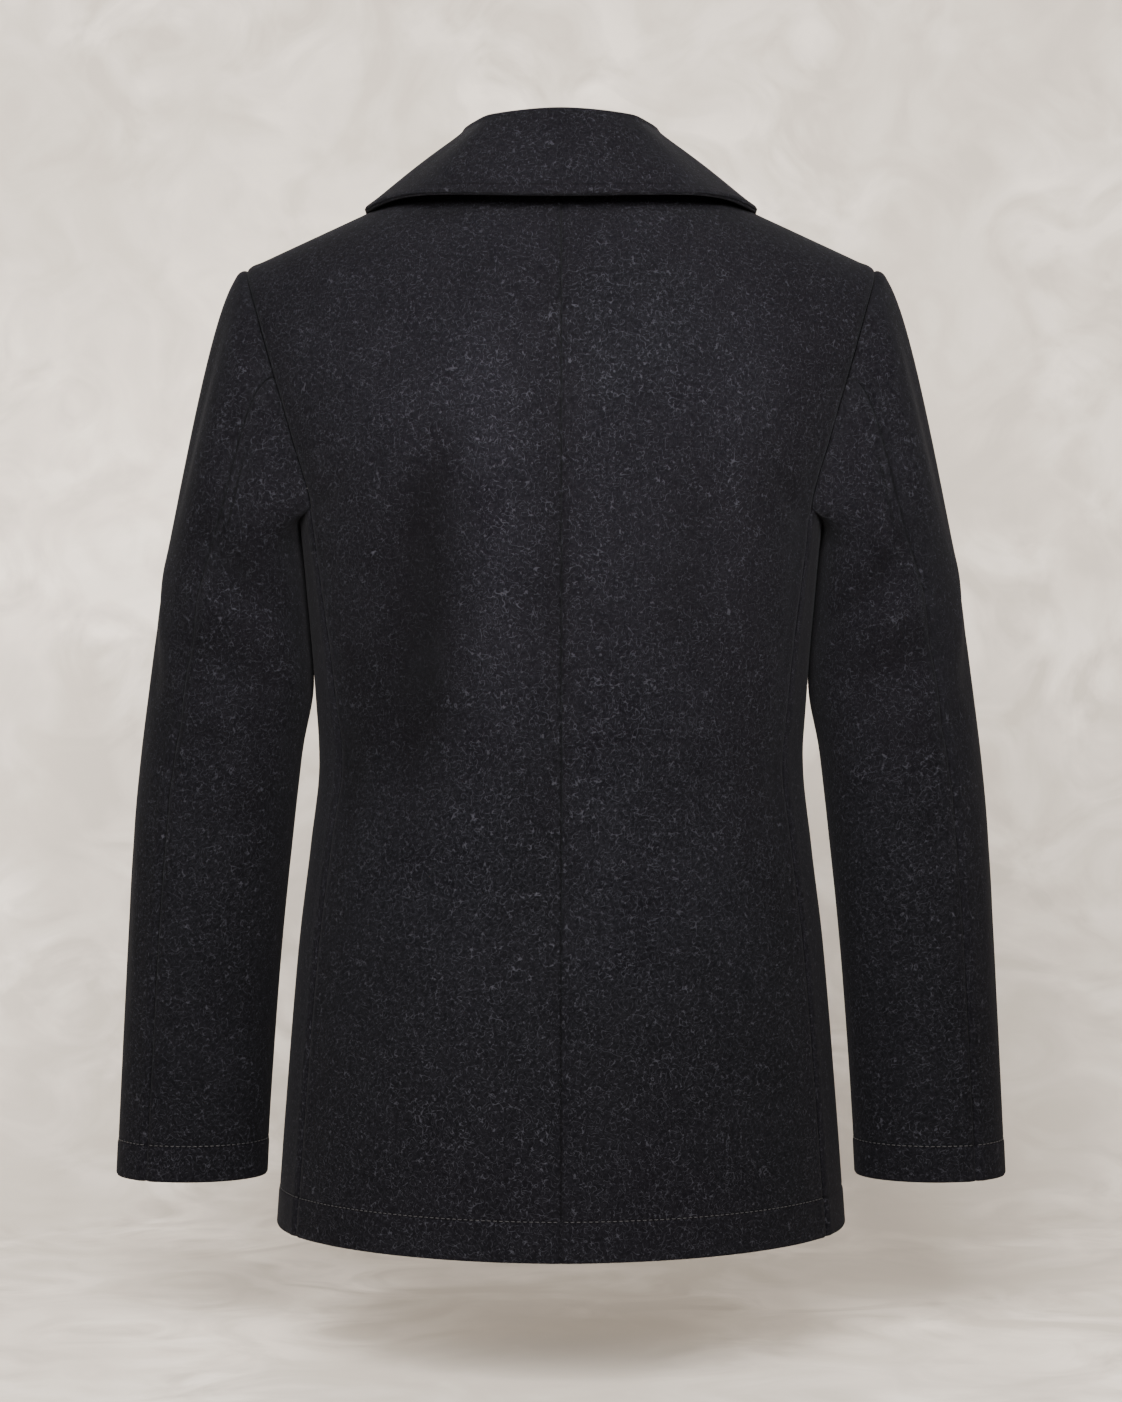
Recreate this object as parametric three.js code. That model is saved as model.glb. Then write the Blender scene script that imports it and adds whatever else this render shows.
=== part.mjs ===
// Pea coat of melton wool, filled out as if worn, with nobody in it.
// Millimetres, +Z up. The front faces -Y, the back +Y, and the wearer's left is +X.
// The origin is the middle of the neck opening, level with the neck seam at the centre back.
import * as THREE from "three";

// Cloth and seams
const WALL = 2.4;
const SEAM_GAP = 0.3;
const LAYER_STEP = WALL + SEAM_GAP;
const LAP_STEP = WALL + 2.1;
const SEAT_GAP = 0.8;
const HEM_Z = -759;
const CUFF_Z = -727;
const HEM_BAND = 27;
const CUFF_BAND = 26;
const BAND_SLOPE = 3;
const BAND_PROUD = 0.5;
const BAND_INNER = 2.2;

// Shoulders and neck
const CHEST_Z = -240;
const NECK_HALF_WIDTH = 82;
const RIDGE_NECK_Z = 37;
const SIDE_NECK_Z = 12;
const SHOULDER_DROP = 0.462;
const RIDGE_CURVE = 1.6;
const RIDGE_Y = -4;
const NECK_BACK_TURN = 30;
const NECK_COLUMNS = [0, 0.4, 0.75, 0.93, 1];
const FRONT_NECK_CURVE = 1.1;
const BACK_LIFT_POWER = 3;
const FRONT_LIFT_ROWS = 6;

// Double-breasted front: the wearer's left laps over the right
const LAP = 95;
const BREAK_Z = -290;
const ROLL_TOP = { x: 64, z: -6 };
const LAPEL_TIP = { x: 141, z: -84 };
const ROLL_EASE = 1.3;
const LAPEL_BELLY = 9;
const LAPEL_HEAD = 0.99;
const ROLL_RADIUS = 3;
const LAP_TURNS = { from: 124, to: 147 };
const LAP_HEIGHTS = { from: -30, to: -95 };

// Buttons and pockets
const BUTTON = { radius: 15, thick: 4, rim: 1, hole: 1.6, holeAt: 3.6 };
const BUTTON_COLUMNS = [-66, 66];
const BUTTON_ROWS = [-325, -425, -525];
const WELT = { x: 128, z: -500, length: 155, width: 30, lean: 14, thick: 2 };

const TORSO = [
  { z: -759, halfWidth: 209, back: 176, front: 160, square: 1.88 },
  { z: -670, halfWidth: 202.6, back: 165, front: 156, square: 1.95 },
  { z: -550, halfWidth: 192.6, back: 151, front: 151, square: 2.05 },
  { z: -480, halfWidth: 184.2, back: 143, front: 147, square: 2.1 },
  { z: -420, halfWidth: 178.4, back: 139, front: 146, square: 2.15 },
  { z: -360, halfWidth: 181.5, back: 140, front: 149, square: 2.2 },
  { z: -300, halfWidth: 186.5, back: 144, front: 152, square: 2.25 },
  { z: -240, halfWidth: 193, back: 147.5, front: 152, square: 2.3 },
  { z: -185, halfWidth: 212, back: 149, front: 149, square: 2.3 },
  { z: -150, halfWidth: 225, back: 149.5, front: 145, square: 2.3 },
  { z: -100, halfWidth: 245, back: 151, front: 137, square: 2.3 },
  { z: -58, halfWidth: 262, back: 151, front: 130, square: 2.3 },
  { z: 0, halfWidth: 278, back: 142, front: 118, square: 2.3 },
  { z: 50, halfWidth: 290, back: 135, front: 110, square: 2.3 },
];

// Turn is the angle from the centre back, and level is 0 at the hem, 1 at the chest, 2 on the shoulder.
const SIDE_SEAM = [
  { level: 0, turn: 66.5 },
  { level: 0.35, turn: 65 },
  { level: 0.65, turn: 63.5 },
  { level: 1.01, turn: 68 },
];
const ARMHOLE = [
  { label: 0, turn: 60.4, level: 2 },
  { label: 35, turn: 61.4, level: 1.647 },
  { label: 77, turn: 63.5, level: 1.367 },
  { label: 110, turn: 65, level: 1.17 },
  { label: 140, turn: 68, level: 1.01 },
  { label: 160, turn: 77, level: 1 },
  { label: 180, turn: 88, level: 1.008 },
  { label: 200, turn: 98, level: 1.035 },
  { label: 220, turn: 106, level: 1.08 },
  { label: 245, turn: 113, level: 1.18 },
  { label: 280, turn: 119, level: 1.36 },
  { label: 325, turn: 121, level: 1.63 },
  { label: 360, turn: 119.6, level: 2 },
];
const ARM_LABELS = [0, 22, 50, 77, 98, 119, 140, 160, 180, 200, 220, 240, 262, 285, 310, 336, 360];
const SLEEVE_BACK_SEAM = 77;
const SIDE_SEAM_LABEL = 140;
const SLEEVE_FRONT_SEAM = 240;

// Sleeve sections, from the biceps to the cuff: outer and inner are X, seam is the back seam's angle
const SLEEVE = [
  { z: -266, outer: 289.5, inner: 190.9, halfDepth: 73, middleY: -1, seam: 76 },
  { z: -300, outer: 296, inner: 187.2, halfDepth: 72, middleY: -1, seam: 69 },
  { z: -360, outer: 303, inner: 183, halfDepth: 69, middleY: -2, seam: 62 },
  { z: -420, outer: 310.5, inner: 192, halfDepth: 65, middleY: -4, seam: 61 },
  { z: -480, outer: 316.5, inner: 199, halfDepth: 61, middleY: -7, seam: 60 },
  { z: -550, outer: 321, inner: 206.5, halfDepth: 57, middleY: -12, seam: 59 },
  { z: -620, outer: 325, inner: 212.5, halfDepth: 53, middleY: -18, seam: 58.5 },
  { z: -690, outer: 329, inner: 217.5, halfDepth: 50, middleY: -23, seam: 58 },
  { z: -727, outer: 331, inner: 219.5, halfDepth: 49, middleY: -25, seam: 58 },
];
const CAP_STEPS = [0, 0.1, 0.24, 0.4, 0.57, 0.78, 1];
const CAP = [
  { label: 0, reach: 15, drop: 150, back: 0, down: -0.08 },
  { label: 50, reach: 17, drop: 92, back: 0.15, down: 0.05 },
  { label: 90, reach: 22, drop: 46, back: 0.16, down: 0.2 },
  { label: 140, reach: 12, drop: 18, back: 0.05, down: 0.1 },
  { label: 180, reach: 8, drop: 13, back: 0, down: 0.05 },
  { label: 220, reach: 12, drop: 18, back: -0.05, down: 0.1 },
  { label: 270, reach: 22, drop: 46, back: -0.16, down: 0.2 },
  { label: 310, reach: 17, drop: 92, back: -0.15, down: 0.05 },
  { label: 360, reach: 15, drop: 150, back: 0, down: -0.08 },
];

// Half of the collar, from the centre back to its front end: fold, middle of the fall, and edge.
// The first row is the third one mirrored, so that the collar runs smoothly through the centre.
const COLLAR = [
  { along: -0.25, fold: [-50, 57, 45], mid: [-70, 72, 15], edge: [-92, 84, -14] },
  { along: 0, fold: [0, 78, 46], mid: [0, 99, 14], edge: [0, 113, -19.5] },
  { along: 0.25, fold: [50, 57, 45], mid: [70, 72, 15], edge: [92, 84, -14] },
  { along: 0.34, fold: [61, 37, 44], mid: [88, 47, 16], edge: [120, 52, -12] },
  { along: 0.42, fold: [69, 14, 42.5], mid: [102, 20, 16], edge: [138, 26, -14.5] },
  { along: 0.52, fold: [70, -6, 39], mid: [104, -8, 13], edge: [144.5, -8, -12.6] },
  { along: 0.65, fold: [69, -22, 31], mid: [104, -31, 5], edge: [143, -38, -21] },
  { along: 0.82, fold: [66, -40, 17], mid: [104, -55, -14], edge: [140, -63, -43.5] },
  { along: 1, fold: [63.5, -54, 1.5], mid: [106, -76, -45], edge: [138, -79, -61] },
];

// Soft folds pressed into the back: from one end to the other, with the half width and depth
const BACK_FOLDS = [
  { x0: 90, z0: -215, x1: 104, z1: -420, halfWidth: 26, depth: 5 },
  { x0: -93, z0: -235, x1: -92, z1: -335, halfWidth: 22, depth: 2.5 },
  { x0: 120, z0: -190, x1: 60, z1: -150, halfWidth: 30, depth: -2 },
];
const SLEEVE_FOLDS = [
  { label0: 60, z0: -240, label1: 120, z1: -285, halfWidth: 15, depth: 4 },
  { label0: 70, z0: -330, label1: 130, z1: -352, halfWidth: 17, depth: 4 },
  { label0: 200, z0: -395, label1: 280, z1: -360, halfWidth: 18, depth: 4 },
  { label0: 10, z0: -300, label1: 40, z1: -370, halfWidth: 16, depth: 2.5 },
];

const DEG = Math.PI / 180;
const { lerp, clamp, smoothstep } = THREE.MathUtils;

// A smooth curve through one column of a table that never overshoots its rows.
function column(rows, along, name) {
  const x = rows.map((row) => row[along]);
  const y = rows.map((row) => row[name]);
  const slope = x.slice(1).map((_, i) => (y[i + 1] - y[i]) / (x[i + 1] - x[i]));
  const tangent = x.map((_, i) => {
    if (i === 0) return slope[0];
    if (i === slope.length) return slope[i - 1];
    const [before, after] = [slope[i - 1], slope[i]];
    return before * after <= 0 ? 0 : (2 * before * after) / (before + after);
  });
  const rising = x[1] > x[0];
  return (at) => {
    const next = x.findIndex((value) => (rising ? value >= at : value <= at));
    const i = clamp(next < 0 ? x.length - 2 : next - 1, 0, x.length - 2);
    const width = x[i + 1] - x[i];
    const u = clamp((at - x[i]) / width, 0, 1);
    const v = 1 - u;
    return (
      y[i] * v * v * (1 + 2 * u) +
      y[i + 1] * u * u * (3 - 2 * u) +
      width * u * v * (tangent[i] * v - tangent[i + 1] * u)
    );
  };
}

const columns = (rows, along, names) =>
  Object.fromEntries(names.map((name) => [name, column(rows, along, name)]));

// A smooth line along the collar, through one column of points.
function collarLine(name) {
  const axes = [0, 1, 2].map((axis) => {
    const rows = COLLAR.map((row) => ({ along: row.along, value: row[name][axis] }));
    return column(rows, "along", "value");
  });
  return (along) => new THREE.Vector3(...axes.map((axis) => axis(along)));
}

const torso = columns(TORSO, "z", ["halfWidth", "back", "front", "square"]);
const armhole = columns(ARMHOLE, "label", ["turn", "level"]);
const sideSeam = column(SIDE_SEAM, "level", "turn");
const sleeve = columns(SLEEVE, "z", ["outer", "inner", "halfDepth", "middleY", "seam"]);
const cap = columns(CAP, "label", ["reach", "drop", "back", "down"]);
const collar = Object.fromEntries(["fold", "mid", "edge"].map((name) => [name, collarLine(name)]));

// Height of the shoulder line above a place across the coat, to the middle of the cloth.
function ridgeHeight(x) {
  const out = Math.abs(x);
  const inner = (RIDGE_NECK_Z - SIDE_NECK_Z) * Math.min(1, out / NECK_HALF_WIDTH) ** RIDGE_CURVE;
  return RIDGE_NECK_Z - inner - SHOULDER_DROP * Math.max(0, out - NECK_HALF_WIDTH) - WALL / 2;
}

const halfWidthAt = (z) => torso.halfWidth(z) - WALL / 2;
const acrossShare = (turn, z) => Math.abs(Math.sin(turn * DEG)) ** (2 / torso.square(z));

// Height of the shoulder line where a turn of the torso meets it, found by stepping onto the line.
function ridgeAtTurn(turn) {
  let z = SIDE_NECK_Z;
  for (let step = 0; step < 12; step++) z = ridgeHeight(halfWidthAt(z) * acrossShare(turn, z));
  return z;
}

// How fully a turn of the front lies where the two fronts lap.
const lapShare = (turn) => smoothstep(turn, LAP_TURNS.from, LAP_TURNS.to);

// How far the left front stands off the middle surface, and the right front sits inside it.
function lapOffset(turn, z) {
  const low = smoothstep(-z, -LAP_HEIGHTS.from, -LAP_HEIGHTS.to);
  return (lapShare(turn) * low * LAP_STEP) / 2;
}

// Depth of the folds at a place, as the sum of long soft troughs.
function foldDepth(folds, axis, across, z) {
  return folds.reduce((sum, fold) => {
    const [a0, a1] = [fold[axis + "0"], fold[axis + "1"]];
    const scale = axis === "label" ? 1.1 : 1;
    const along = new THREE.Vector2((a1 - a0) * scale, fold.z1 - fold.z0);
    const from = new THREE.Vector2((across - a0) * scale, z - fold.z0);
    const share = from.dot(along) / along.lengthSq();
    const aside = Math.abs(from.cross(along)) / along.length();
    const ends = Math.exp(-((Math.max(0, Math.abs(share - 0.5) - 0.3) / 0.3) ** 2));
    return sum + fold.depth * ends * Math.exp(-((aside / fold.halfWidth) ** 2));
  }, 0);
}

// The torso's middle surface. Each section is a squared ellipse, and above the chest it closes
// onto the shoulder line along a quarter of an ellipse. Side is 1 on the wearer's left.
function torsoPoint(turn, level, side) {
  const ridge = ridgeAtTurn(turn);
  const rise = Math.max(0, level - 1) * 90 * DEG;
  const z = level <= 1 ? lerp(HEM_Z, CHEST_Z, level) : lerp(CHEST_Z, ridge, Math.sin(rise));
  const power = 2 / torso.square(z);
  const facing = Math.cos(turn * DEG);
  const depth = (facing > 0 ? torso.back(z) : torso.front(z)) - WALL / 2;
  const x = halfWidthAt(z) * acrossShare(turn, z) * (turn > 180 ? -1 : 1);
  const full = Math.sign(facing) * depth * Math.abs(facing) ** power;
  const y = lerp(RIDGE_Y, full, Math.cos(rise));
  const fold = facing > 0 ? foldDepth(BACK_FOLDS, "x", side * x, z) : 0;
  const out = (facing < 0 ? side * lapOffset(Math.min(turn, 180), z) : 0) - fold;
  const away = new THREE.Vector2(x / halfWidthAt(z), full / depth).normalize();
  return new THREE.Vector3(side * (x + away.x * out), y + away.y * out, z);
}

// The turn and level of the front place that lies at x and z.
function frontDomain(x, z) {
  const share = clamp(Math.abs(x) / halfWidthAt(z), 0, 1);
  const angle = Math.asin(share ** (torso.square(z) / 2)) / DEG;
  const turn = x >= 0 ? 180 - angle : 180 + angle;
  if (z <= CHEST_Z) return { turn, level: (z - HEM_Z) / (CHEST_Z - HEM_Z) };
  const rise = clamp((z - CHEST_Z) / (ridgeAtTurn(turn) - CHEST_Z), 0, 1);
  return { turn, level: 1 + Math.asin(rise) / (90 * DEG) };
}

const STEP = 1e-4;

// A surface's point and outward unit normal at a place of its own two parameters.
const sampled = (surface, side) => (s, t) => {
  const [s0, s1] = [Math.max(0, s - STEP), Math.min(1, s + STEP)];
  const [t0, t1] = [Math.max(0, t - STEP), Math.min(1, t + STEP)];
  const across = surface(s1, t).sub(surface(s0, t));
  const up = surface(s, t1).sub(surface(s, t0));
  return { point: surface(s, t), normal: up.cross(across).multiplyScalar(side).normalize() };
};

// Outward unit normal of the torso's middle surface, which no panel's own grid changes.
function torsoNormal(turn, level, side) {
  const [t0, t1] = [Math.max(0, turn - STEP * 90), turn + STEP * 90];
  const [l0, l1] = [Math.max(0, level - STEP), Math.min(2, level + STEP)];
  const across = torsoPoint(t1, level, side).sub(torsoPoint(t0, level, side));
  const up = torsoPoint(turn, l1, side).sub(torsoPoint(turn, l0, side));
  return up.cross(across).multiplyScalar(side).normalize();
}

// How far a border point is drawn in from the border that runs through its two neighbours.
function drawIn(point, inside, before, after) {
  const border = after.clone().sub(before).normalize();
  const way = inside.clone().sub(point);
  return way.addScaledVector(border, -way.dot(border)).setLength(SEAM_GAP / 2);
}

// A cloth piece: its surface sampled at the columns and rows, drawn in at its border by half a
// seam gap, and thickened to both sides. Faces gives the two offsets at a place, and winding is
// the sign that turns the triangles outward.
function clothPiece(name, winding, cols, rows, sample, faces = () => [-WALL / 2, WALL / 2]) {
  const grid = rows.map((t) => cols.map((s) => sample(s, t)));
  const [lastI, lastJ] = [cols.length - 1, rows.length - 1];
  const pointAt = (i, j) => grid[clamp(j, 0, lastJ)][clamp(i, 0, lastI)].point;
  const layers = [0, 1].map((face) =>
    grid.flatMap((row, j) =>
      row.map(({ point, normal }, i) => {
        const offset = normal.clone().multiplyScalar(faces(cols[i], rows[j])[face]);
        const upright = [pointAt(i, j - 1), pointAt(i, j + 1)];
        const level = [pointAt(i - 1, j), pointAt(i + 1, j)];
        if (i === 0) offset.add(drawIn(point, pointAt(1, j), ...upright));
        if (i === lastI) offset.add(drawIn(point, pointAt(i - 1, j), ...upright));
        if (j === 0) offset.add(drawIn(point, pointAt(i, 1), ...level));
        if (j === lastJ) offset.add(drawIn(point, pointAt(i, j - 1), ...level));
        return offset.add(point);
      }),
    ),
  );
  const wide = cols.length;
  const at = (face, i, j) => face * wide * rows.length + j * wide + i;
  const triangles = [];
  const quad = (a, b, c, d) => triangles.push(a, b, c, a, c, d);
  const outer = (i, j) => [at(1, i, j), at(1, i, j + 1), at(1, i + 1, j + 1), at(1, i + 1, j)];
  const inner = (i, j) => [at(0, i, j), at(0, i + 1, j), at(0, i + 1, j + 1), at(0, i, j + 1)];
  for (let j = 0; j < lastJ; j++) {
    for (let i = 0; i < lastI; i++) {
      quad(...outer(i, j));
      quad(...inner(i, j));
    }
    quad(at(0, 0, j), at(0, 0, j + 1), at(1, 0, j + 1), at(1, 0, j));
    quad(at(1, lastI, j), at(1, lastI, j + 1), at(0, lastI, j + 1), at(0, lastI, j));
  }
  for (let i = 0; i < lastI; i++) {
    quad(at(1, i, 0), at(1, i + 1, 0), at(0, i + 1, 0), at(0, i, 0));
    quad(at(0, i, lastJ), at(0, i + 1, lastJ), at(1, i + 1, lastJ), at(1, i, lastJ));
  }
  if (winding < 0) {
    for (let k = 0; k < triangles.length; k += 3) {
      [triangles[k + 1], triangles[k + 2]] = [triangles[k + 2], triangles[k + 1]];
    }
  }
  const geometry = new THREE.BufferGeometry();
  geometry.setAttribute(
    "position",
    new THREE.Float32BufferAttribute(layers.flat().flatMap((point) => point.toArray()), 3),
  );
  geometry.setIndex(triangles);
  const mesh = new THREE.Mesh(geometry, meltonWool());
  mesh.name = name;
  return mesh;
}

function meltonWool() {
  return new THREE.MeshStandardMaterial({ color: 0x1b1c22, roughness: 0.95, metalness: 0 });
}

function buttonResin() {
  return new THREE.MeshStandardMaterial({ color: 0x0f1014, roughness: 0.4, metalness: 0 });
}

const steps = (count) => Array.from({ length: count + 1 }, (_, i) => i / count);
const sideName = (side) => (side > 0 ? "left" : "right");

// The two offsets of a panel with its hem turned up inside, below the stitched line.
function hemFaces(height, turn) {
  const band = (1 - smoothstep(height, HEM_BAND, HEM_BAND + BAND_SLOPE)) * (1 - lapShare(turn));
  return [-WALL / 2 - band * BAND_INNER, WALL / 2 + band * BAND_PROUD];
}

const hemLevel = (height) => height / (CHEST_Z - HEM_Z);
const BAND_LEVELS = [0, hemLevel(HEM_BAND), hemLevel(HEM_BAND + BAND_SLOPE)];
const BREAK_LEVEL = hemLevel(BREAK_Z - HEM_Z);
const UNDERARM_LEVEL = 1.01;
const LOW_LEVELS = [
  ...BAND_LEVELS,
  ...steps(10).slice(1).map((u) => lerp(BAND_LEVELS[2], BREAK_LEVEL, u)),
];
const MIDWAY_LEVEL = (BREAK_LEVEL + UNDERARM_LEVEL) / 2;

// A panel from its rows, each a pair of border places: blended across from border to border, and
// lifted to its own top edge over the rows from the one named.
function panelPiece(name, side, cols, rows, liftFrom, liftPower, top) {
  const last = rows.length - 1;
  const places = rows.map((_, k) => k / last);
  const placeAt = (s, t) => {
    const row = rows[Math.round(t * last)];
    const lift = Math.max(0, (t * last - liftFrom) / (last - liftFrom)) ** liftPower;
    const topTurn = lerp(rows[last].centre.turn, rows[last].side.turn, s);
    const topLevel = lerp(rows[last].centre.level, rows[last].side.level, s);
    const level = lerp(row.centre.level, row.side.level, s) + lift * (top(topTurn) - topLevel);
    return { turn: lerp(row.centre.turn, row.side.turn, s), level };
  };
  const sample = (s, t) => {
    const { turn, level } = placeAt(s, t);
    return { point: torsoPoint(turn, level, side), normal: torsoNormal(turn, level, side) };
  };
  const faces = (s, t) => {
    const { turn, level } = placeAt(s, t);
    return hemFaces(Math.min(1, level) * (CHEST_Z - HEM_Z), turn);
  };
  const winding = side * Math.sign(rows[0].side.turn - rows[0].centre.turn);
  return clothPiece(name + "_" + sideName(side), winding, cols, places, sample, faces);
}

const armholePlace = (label) => ({ turn: armhole.turn(label), level: armhole.level(label) });
const seamPlace = (level) => ({ turn: sideSeam(level), level });

const SIDE_NECK_TURN = frontDomain(NECK_HALF_WIDTH, SIDE_NECK_Z - WALL / 2).turn;
const BACK_NECK_TURN = 180 - SIDE_NECK_TURN;

// Level of the back's top edge: down in the neck curve, and on the shoulder line beyond it.
function backTop(turn) {
  const share = clamp(turn / BACK_NECK_TURN, 0, 1);
  return 2 - (NECK_BACK_TURN / 90) * Math.sqrt(1 - share * share);
}

function backPanel(side) {
  const low = [...LOW_LEVELS, MIDWAY_LEVEL, UNDERARM_LEVEL];
  const labels = ARM_LABELS.filter((label) => label < SIDE_SEAM_LABEL).reverse();
  const rows = [
    ...low.map((level) => ({ side: seamPlace(level), centre: { turn: 0, level } })),
    ...labels.map((label, k) => ({
      side: armholePlace(label),
      centre: { turn: 0, level: lerp(UNDERARM_LEVEL, backTop(0), (k + 1) / labels.length) },
    })),
  ];
  const neck = BACK_NECK_TURN / armhole.turn(0);
  const curved = NECK_COLUMNS.map((u) => u * neck);
  const cols = [...curved, ...steps(7).slice(1).map((u) => lerp(neck, 1, u))];
  return panelPiece("back", side, cols, rows, low.length - 1, BACK_LIFT_POWER, backTop);
}

const ROLL_TOP_PLACE = frontDomain(ROLL_TOP.x, ROLL_TOP.z);

// Level of the front's top edge: on the shoulder line, then down the neck to the roll line.
function frontTop(turn) {
  const share = clamp((turn - SIDE_NECK_TURN) / (ROLL_TOP_PLACE.turn - SIDE_NECK_TURN), 0, 1);
  return lerp(2, ROLL_TOP_PLACE.level, share ** FRONT_NECK_CURVE);
}

// A place on the roll line, from the break point at the edge to the neck. The front and the lapel
// share its steps, so that they stay even beside each other.
const ROLL_STEPS = 12;
const rollPlace = (share) => ({
  x: lerp(-LAP, ROLL_TOP.x, 1 - (1 - share) ** ROLL_EASE),
  z: lerp(BREAK_Z, ROLL_TOP.z, share),
});

function frontPanel(side) {
  const labels = ARM_LABELS.filter((label) => label >= SIDE_SEAM_LABEL);
  const high = [seamPlace(MIDWAY_LEVEL), ...labels.map(armholePlace)];
  const rows = [
    ...LOW_LEVELS.map((level) => ({
      side: seamPlace(level),
      centre: frontDomain(-LAP, lerp(HEM_Z, CHEST_Z, level)),
    })),
    ...high.map((place, k) => {
      const roll = rollPlace((k + 1) / ROLL_STEPS);
      return { side: place, centre: frontDomain(roll.x, roll.z) };
    }),
  ];
  const neck = (ROLL_TOP_PLACE.turn - SIDE_NECK_TURN) / (ROLL_TOP_PLACE.turn - armhole.turn(360));
  const cols = [0, neck * 0.4, neck, ...steps(10).slice(1).map((u) => lerp(neck, 1, u))];
  return panelPiece("front", side, cols, rows, rows.length - 1 - FRONT_LIFT_ROWS, 1, frontTop);
}

// Angle round a sleeve section that a label comes to, with the back seam led to its own place.
function sectionAngle(label, z) {
  const seam = sleeve.seam(z);
  if (label <= 0 || label >= 180) return label;
  if (label < SLEEVE_BACK_SEAM) return (label * seam) / SLEEVE_BACK_SEAM;
  return 180 - ((180 - label) * (180 - seam)) / (180 - SLEEVE_BACK_SEAM);
}

// A place on the sleeve below the biceps, an ellipse at each height.
function sleeveSection(label, z) {
  const angle = sectionAngle(label, z) * DEG;
  const fold = foldDepth(SLEEVE_FOLDS, "label", (label + 360) % 360, z);
  const halfWidth = (sleeve.outer(z) - sleeve.inner(z) - WALL) / 2 - fold;
  const halfDepth = sleeve.halfDepth(z) - WALL / 2 - fold;
  const middle = (sleeve.outer(z) + sleeve.inner(z)) / 2;
  const x = middle + halfWidth * Math.cos(angle);
  return new THREE.Vector3(x, sleeve.middleY(z) + halfDepth * Math.sin(angle), z);
}

// Where a sleeve starts at the armhole: past the panel's edge, and the way it sets off.
function capStart(label) {
  const round = (label + 360) % 360;
  const seam = (at) => torsoPoint(armhole.turn(at), armhole.level(at), 1);
  const point = seam(round);
  const along = seam(Math.min(360, round + 1)).sub(seam(Math.max(0, round - 1))).normalize();
  const normal = torsoNormal(armhole.turn(round), armhole.level(round), 1);
  const beyond = along.clone().cross(normal).normalize();
  const heading = new THREE.Vector3(1, cap.back(round), -cap.down(round)).normalize();
  const lean = Math.sqrt(Math.max(0, 1 - beyond.dot(heading) ** 2));
  return { point: point.addScaledVector(beyond, SEAM_GAP / 2 + (lean * WALL) / 2), heading };
}

// The sleeve's middle surface: a cap from the armhole to the biceps, then the sections.
function sleevePoint(label, place) {
  if (place >= 1) return sleeveSection(label, lerp(SLEEVE[0].z, CUFF_Z, place - 1));
  const round = (label + 360) % 360;
  const start = capStart(label);
  const end = sleeveSection(label, SLEEVE[0].z);
  const below = sleeveSection(label, SLEEVE[0].z - 12);
  const down = below.clone().sub(end).normalize();
  const first = start.point.clone().addScaledVector(start.heading, cap.reach(round));
  const second = end.clone().addScaledVector(down, -cap.drop(round));
  return new THREE.CubicBezierCurve3(start.point, first, second, end).getPoint(place);
}

const cuffPlace = (height) => 2 - height / (SLEEVE[0].z - CUFF_Z);

function sleevePiece(name, side, labels) {
  const bands = [cuffPlace(CUFF_BAND + BAND_SLOPE), cuffPlace(CUFF_BAND), 2];
  const places = [...CAP_STEPS, ...steps(9).slice(1, -1).map((u) => lerp(1, bands[0], u)), ...bands];
  const rows = places.map((place) => place / 2).map((t) => 1 - t).reverse();
  const [first, last] = [labels[0], labels[labels.length - 1]];
  const cols = labels.map((label) => (label - first) / (last - first));
  const surface = (s, t) => {
    const point = sleevePoint(lerp(first, last, s), 2 * (1 - t));
    return new THREE.Vector3(side * point.x, point.y, point.z);
  };
  const faces = (s, t) => {
    const height = 2 * t * (SLEEVE[0].z - CUFF_Z);
    const band = 1 - smoothstep(height, CUFF_BAND, CUFF_BAND + BAND_SLOPE);
    return [-WALL / 2 - band * BAND_INNER, WALL / 2 + band * BAND_PROUD];
  };
  return clothPiece(name + "_" + sideName(side), -side, cols, rows, sampled(surface, -side), faces);
}

function sleevePieces(side) {
  const round = ARM_LABELS.filter((label) => label >= SLEEVE_FRONT_SEAM && label < 360);
  const over = ARM_LABELS.filter((label) => label <= SLEEVE_BACK_SEAM);
  const under = ARM_LABELS.filter((l) => l >= SLEEVE_BACK_SEAM && l <= SLEEVE_FRONT_SEAM);
  return [
    sleevePiece("sleeve_top", side, [...round.map((label) => label - 360), ...over]),
    sleevePiece("sleeve_under", side, under),
  ];
}

// The neck seam from the centre back, at 0, to the top of the roll line, at 1.
function neckSeam(along) {
  const sideAt = 0.45;
  if (along <= sideAt) {
    const turn = BACK_NECK_TURN * Math.sin((along / sideAt) * 90 * DEG);
    return torsoPoint(turn, backTop(turn), 1);
  }
  const share = (along - sideAt) / (1 - sideAt);
  const turn = lerp(SIDE_NECK_TURN, ROLL_TOP_PLACE.turn, share);
  return torsoPoint(turn, frontTop(turn), 1);
}

const COLLAR_FOLD_RADIUS = 4.5;
const COLLAR_LIFT = 1.5;

// The collar between its two layers: up the stand, over the fold and down the fall.
function collarPoint(along, across) {
  const half = Math.abs(along);
  const [fold, middle, edge] = ["fold", "mid", "edge"].map((name) => collar[name](half));
  const foot = neckSeam(half).add(new THREE.Vector3(0, 0, WALL / 2 + COLLAR_LIFT));
  const out = middle.clone().sub(foot).setZ(0).normalize();
  const dip = Math.min(COLLAR_FOLD_RADIUS, 0.4 * (fold.z - foot.z));
  const inside = fold.clone().addScaledVector(out, -COLLAR_FOLD_RADIUS).setZ(fold.z - dip);
  const outside = fold.clone().addScaledVector(out, COLLAR_FOLD_RADIUS).setZ(fold.z - dip);
  const curve = new THREE.CatmullRomCurve3([foot, inside, fold, outside, middle, edge]);
  const point = curve.getPoint(across);
  return new THREE.Vector3(Math.sign(along || 1) * point.x, point.y, point.z);
}

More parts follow.
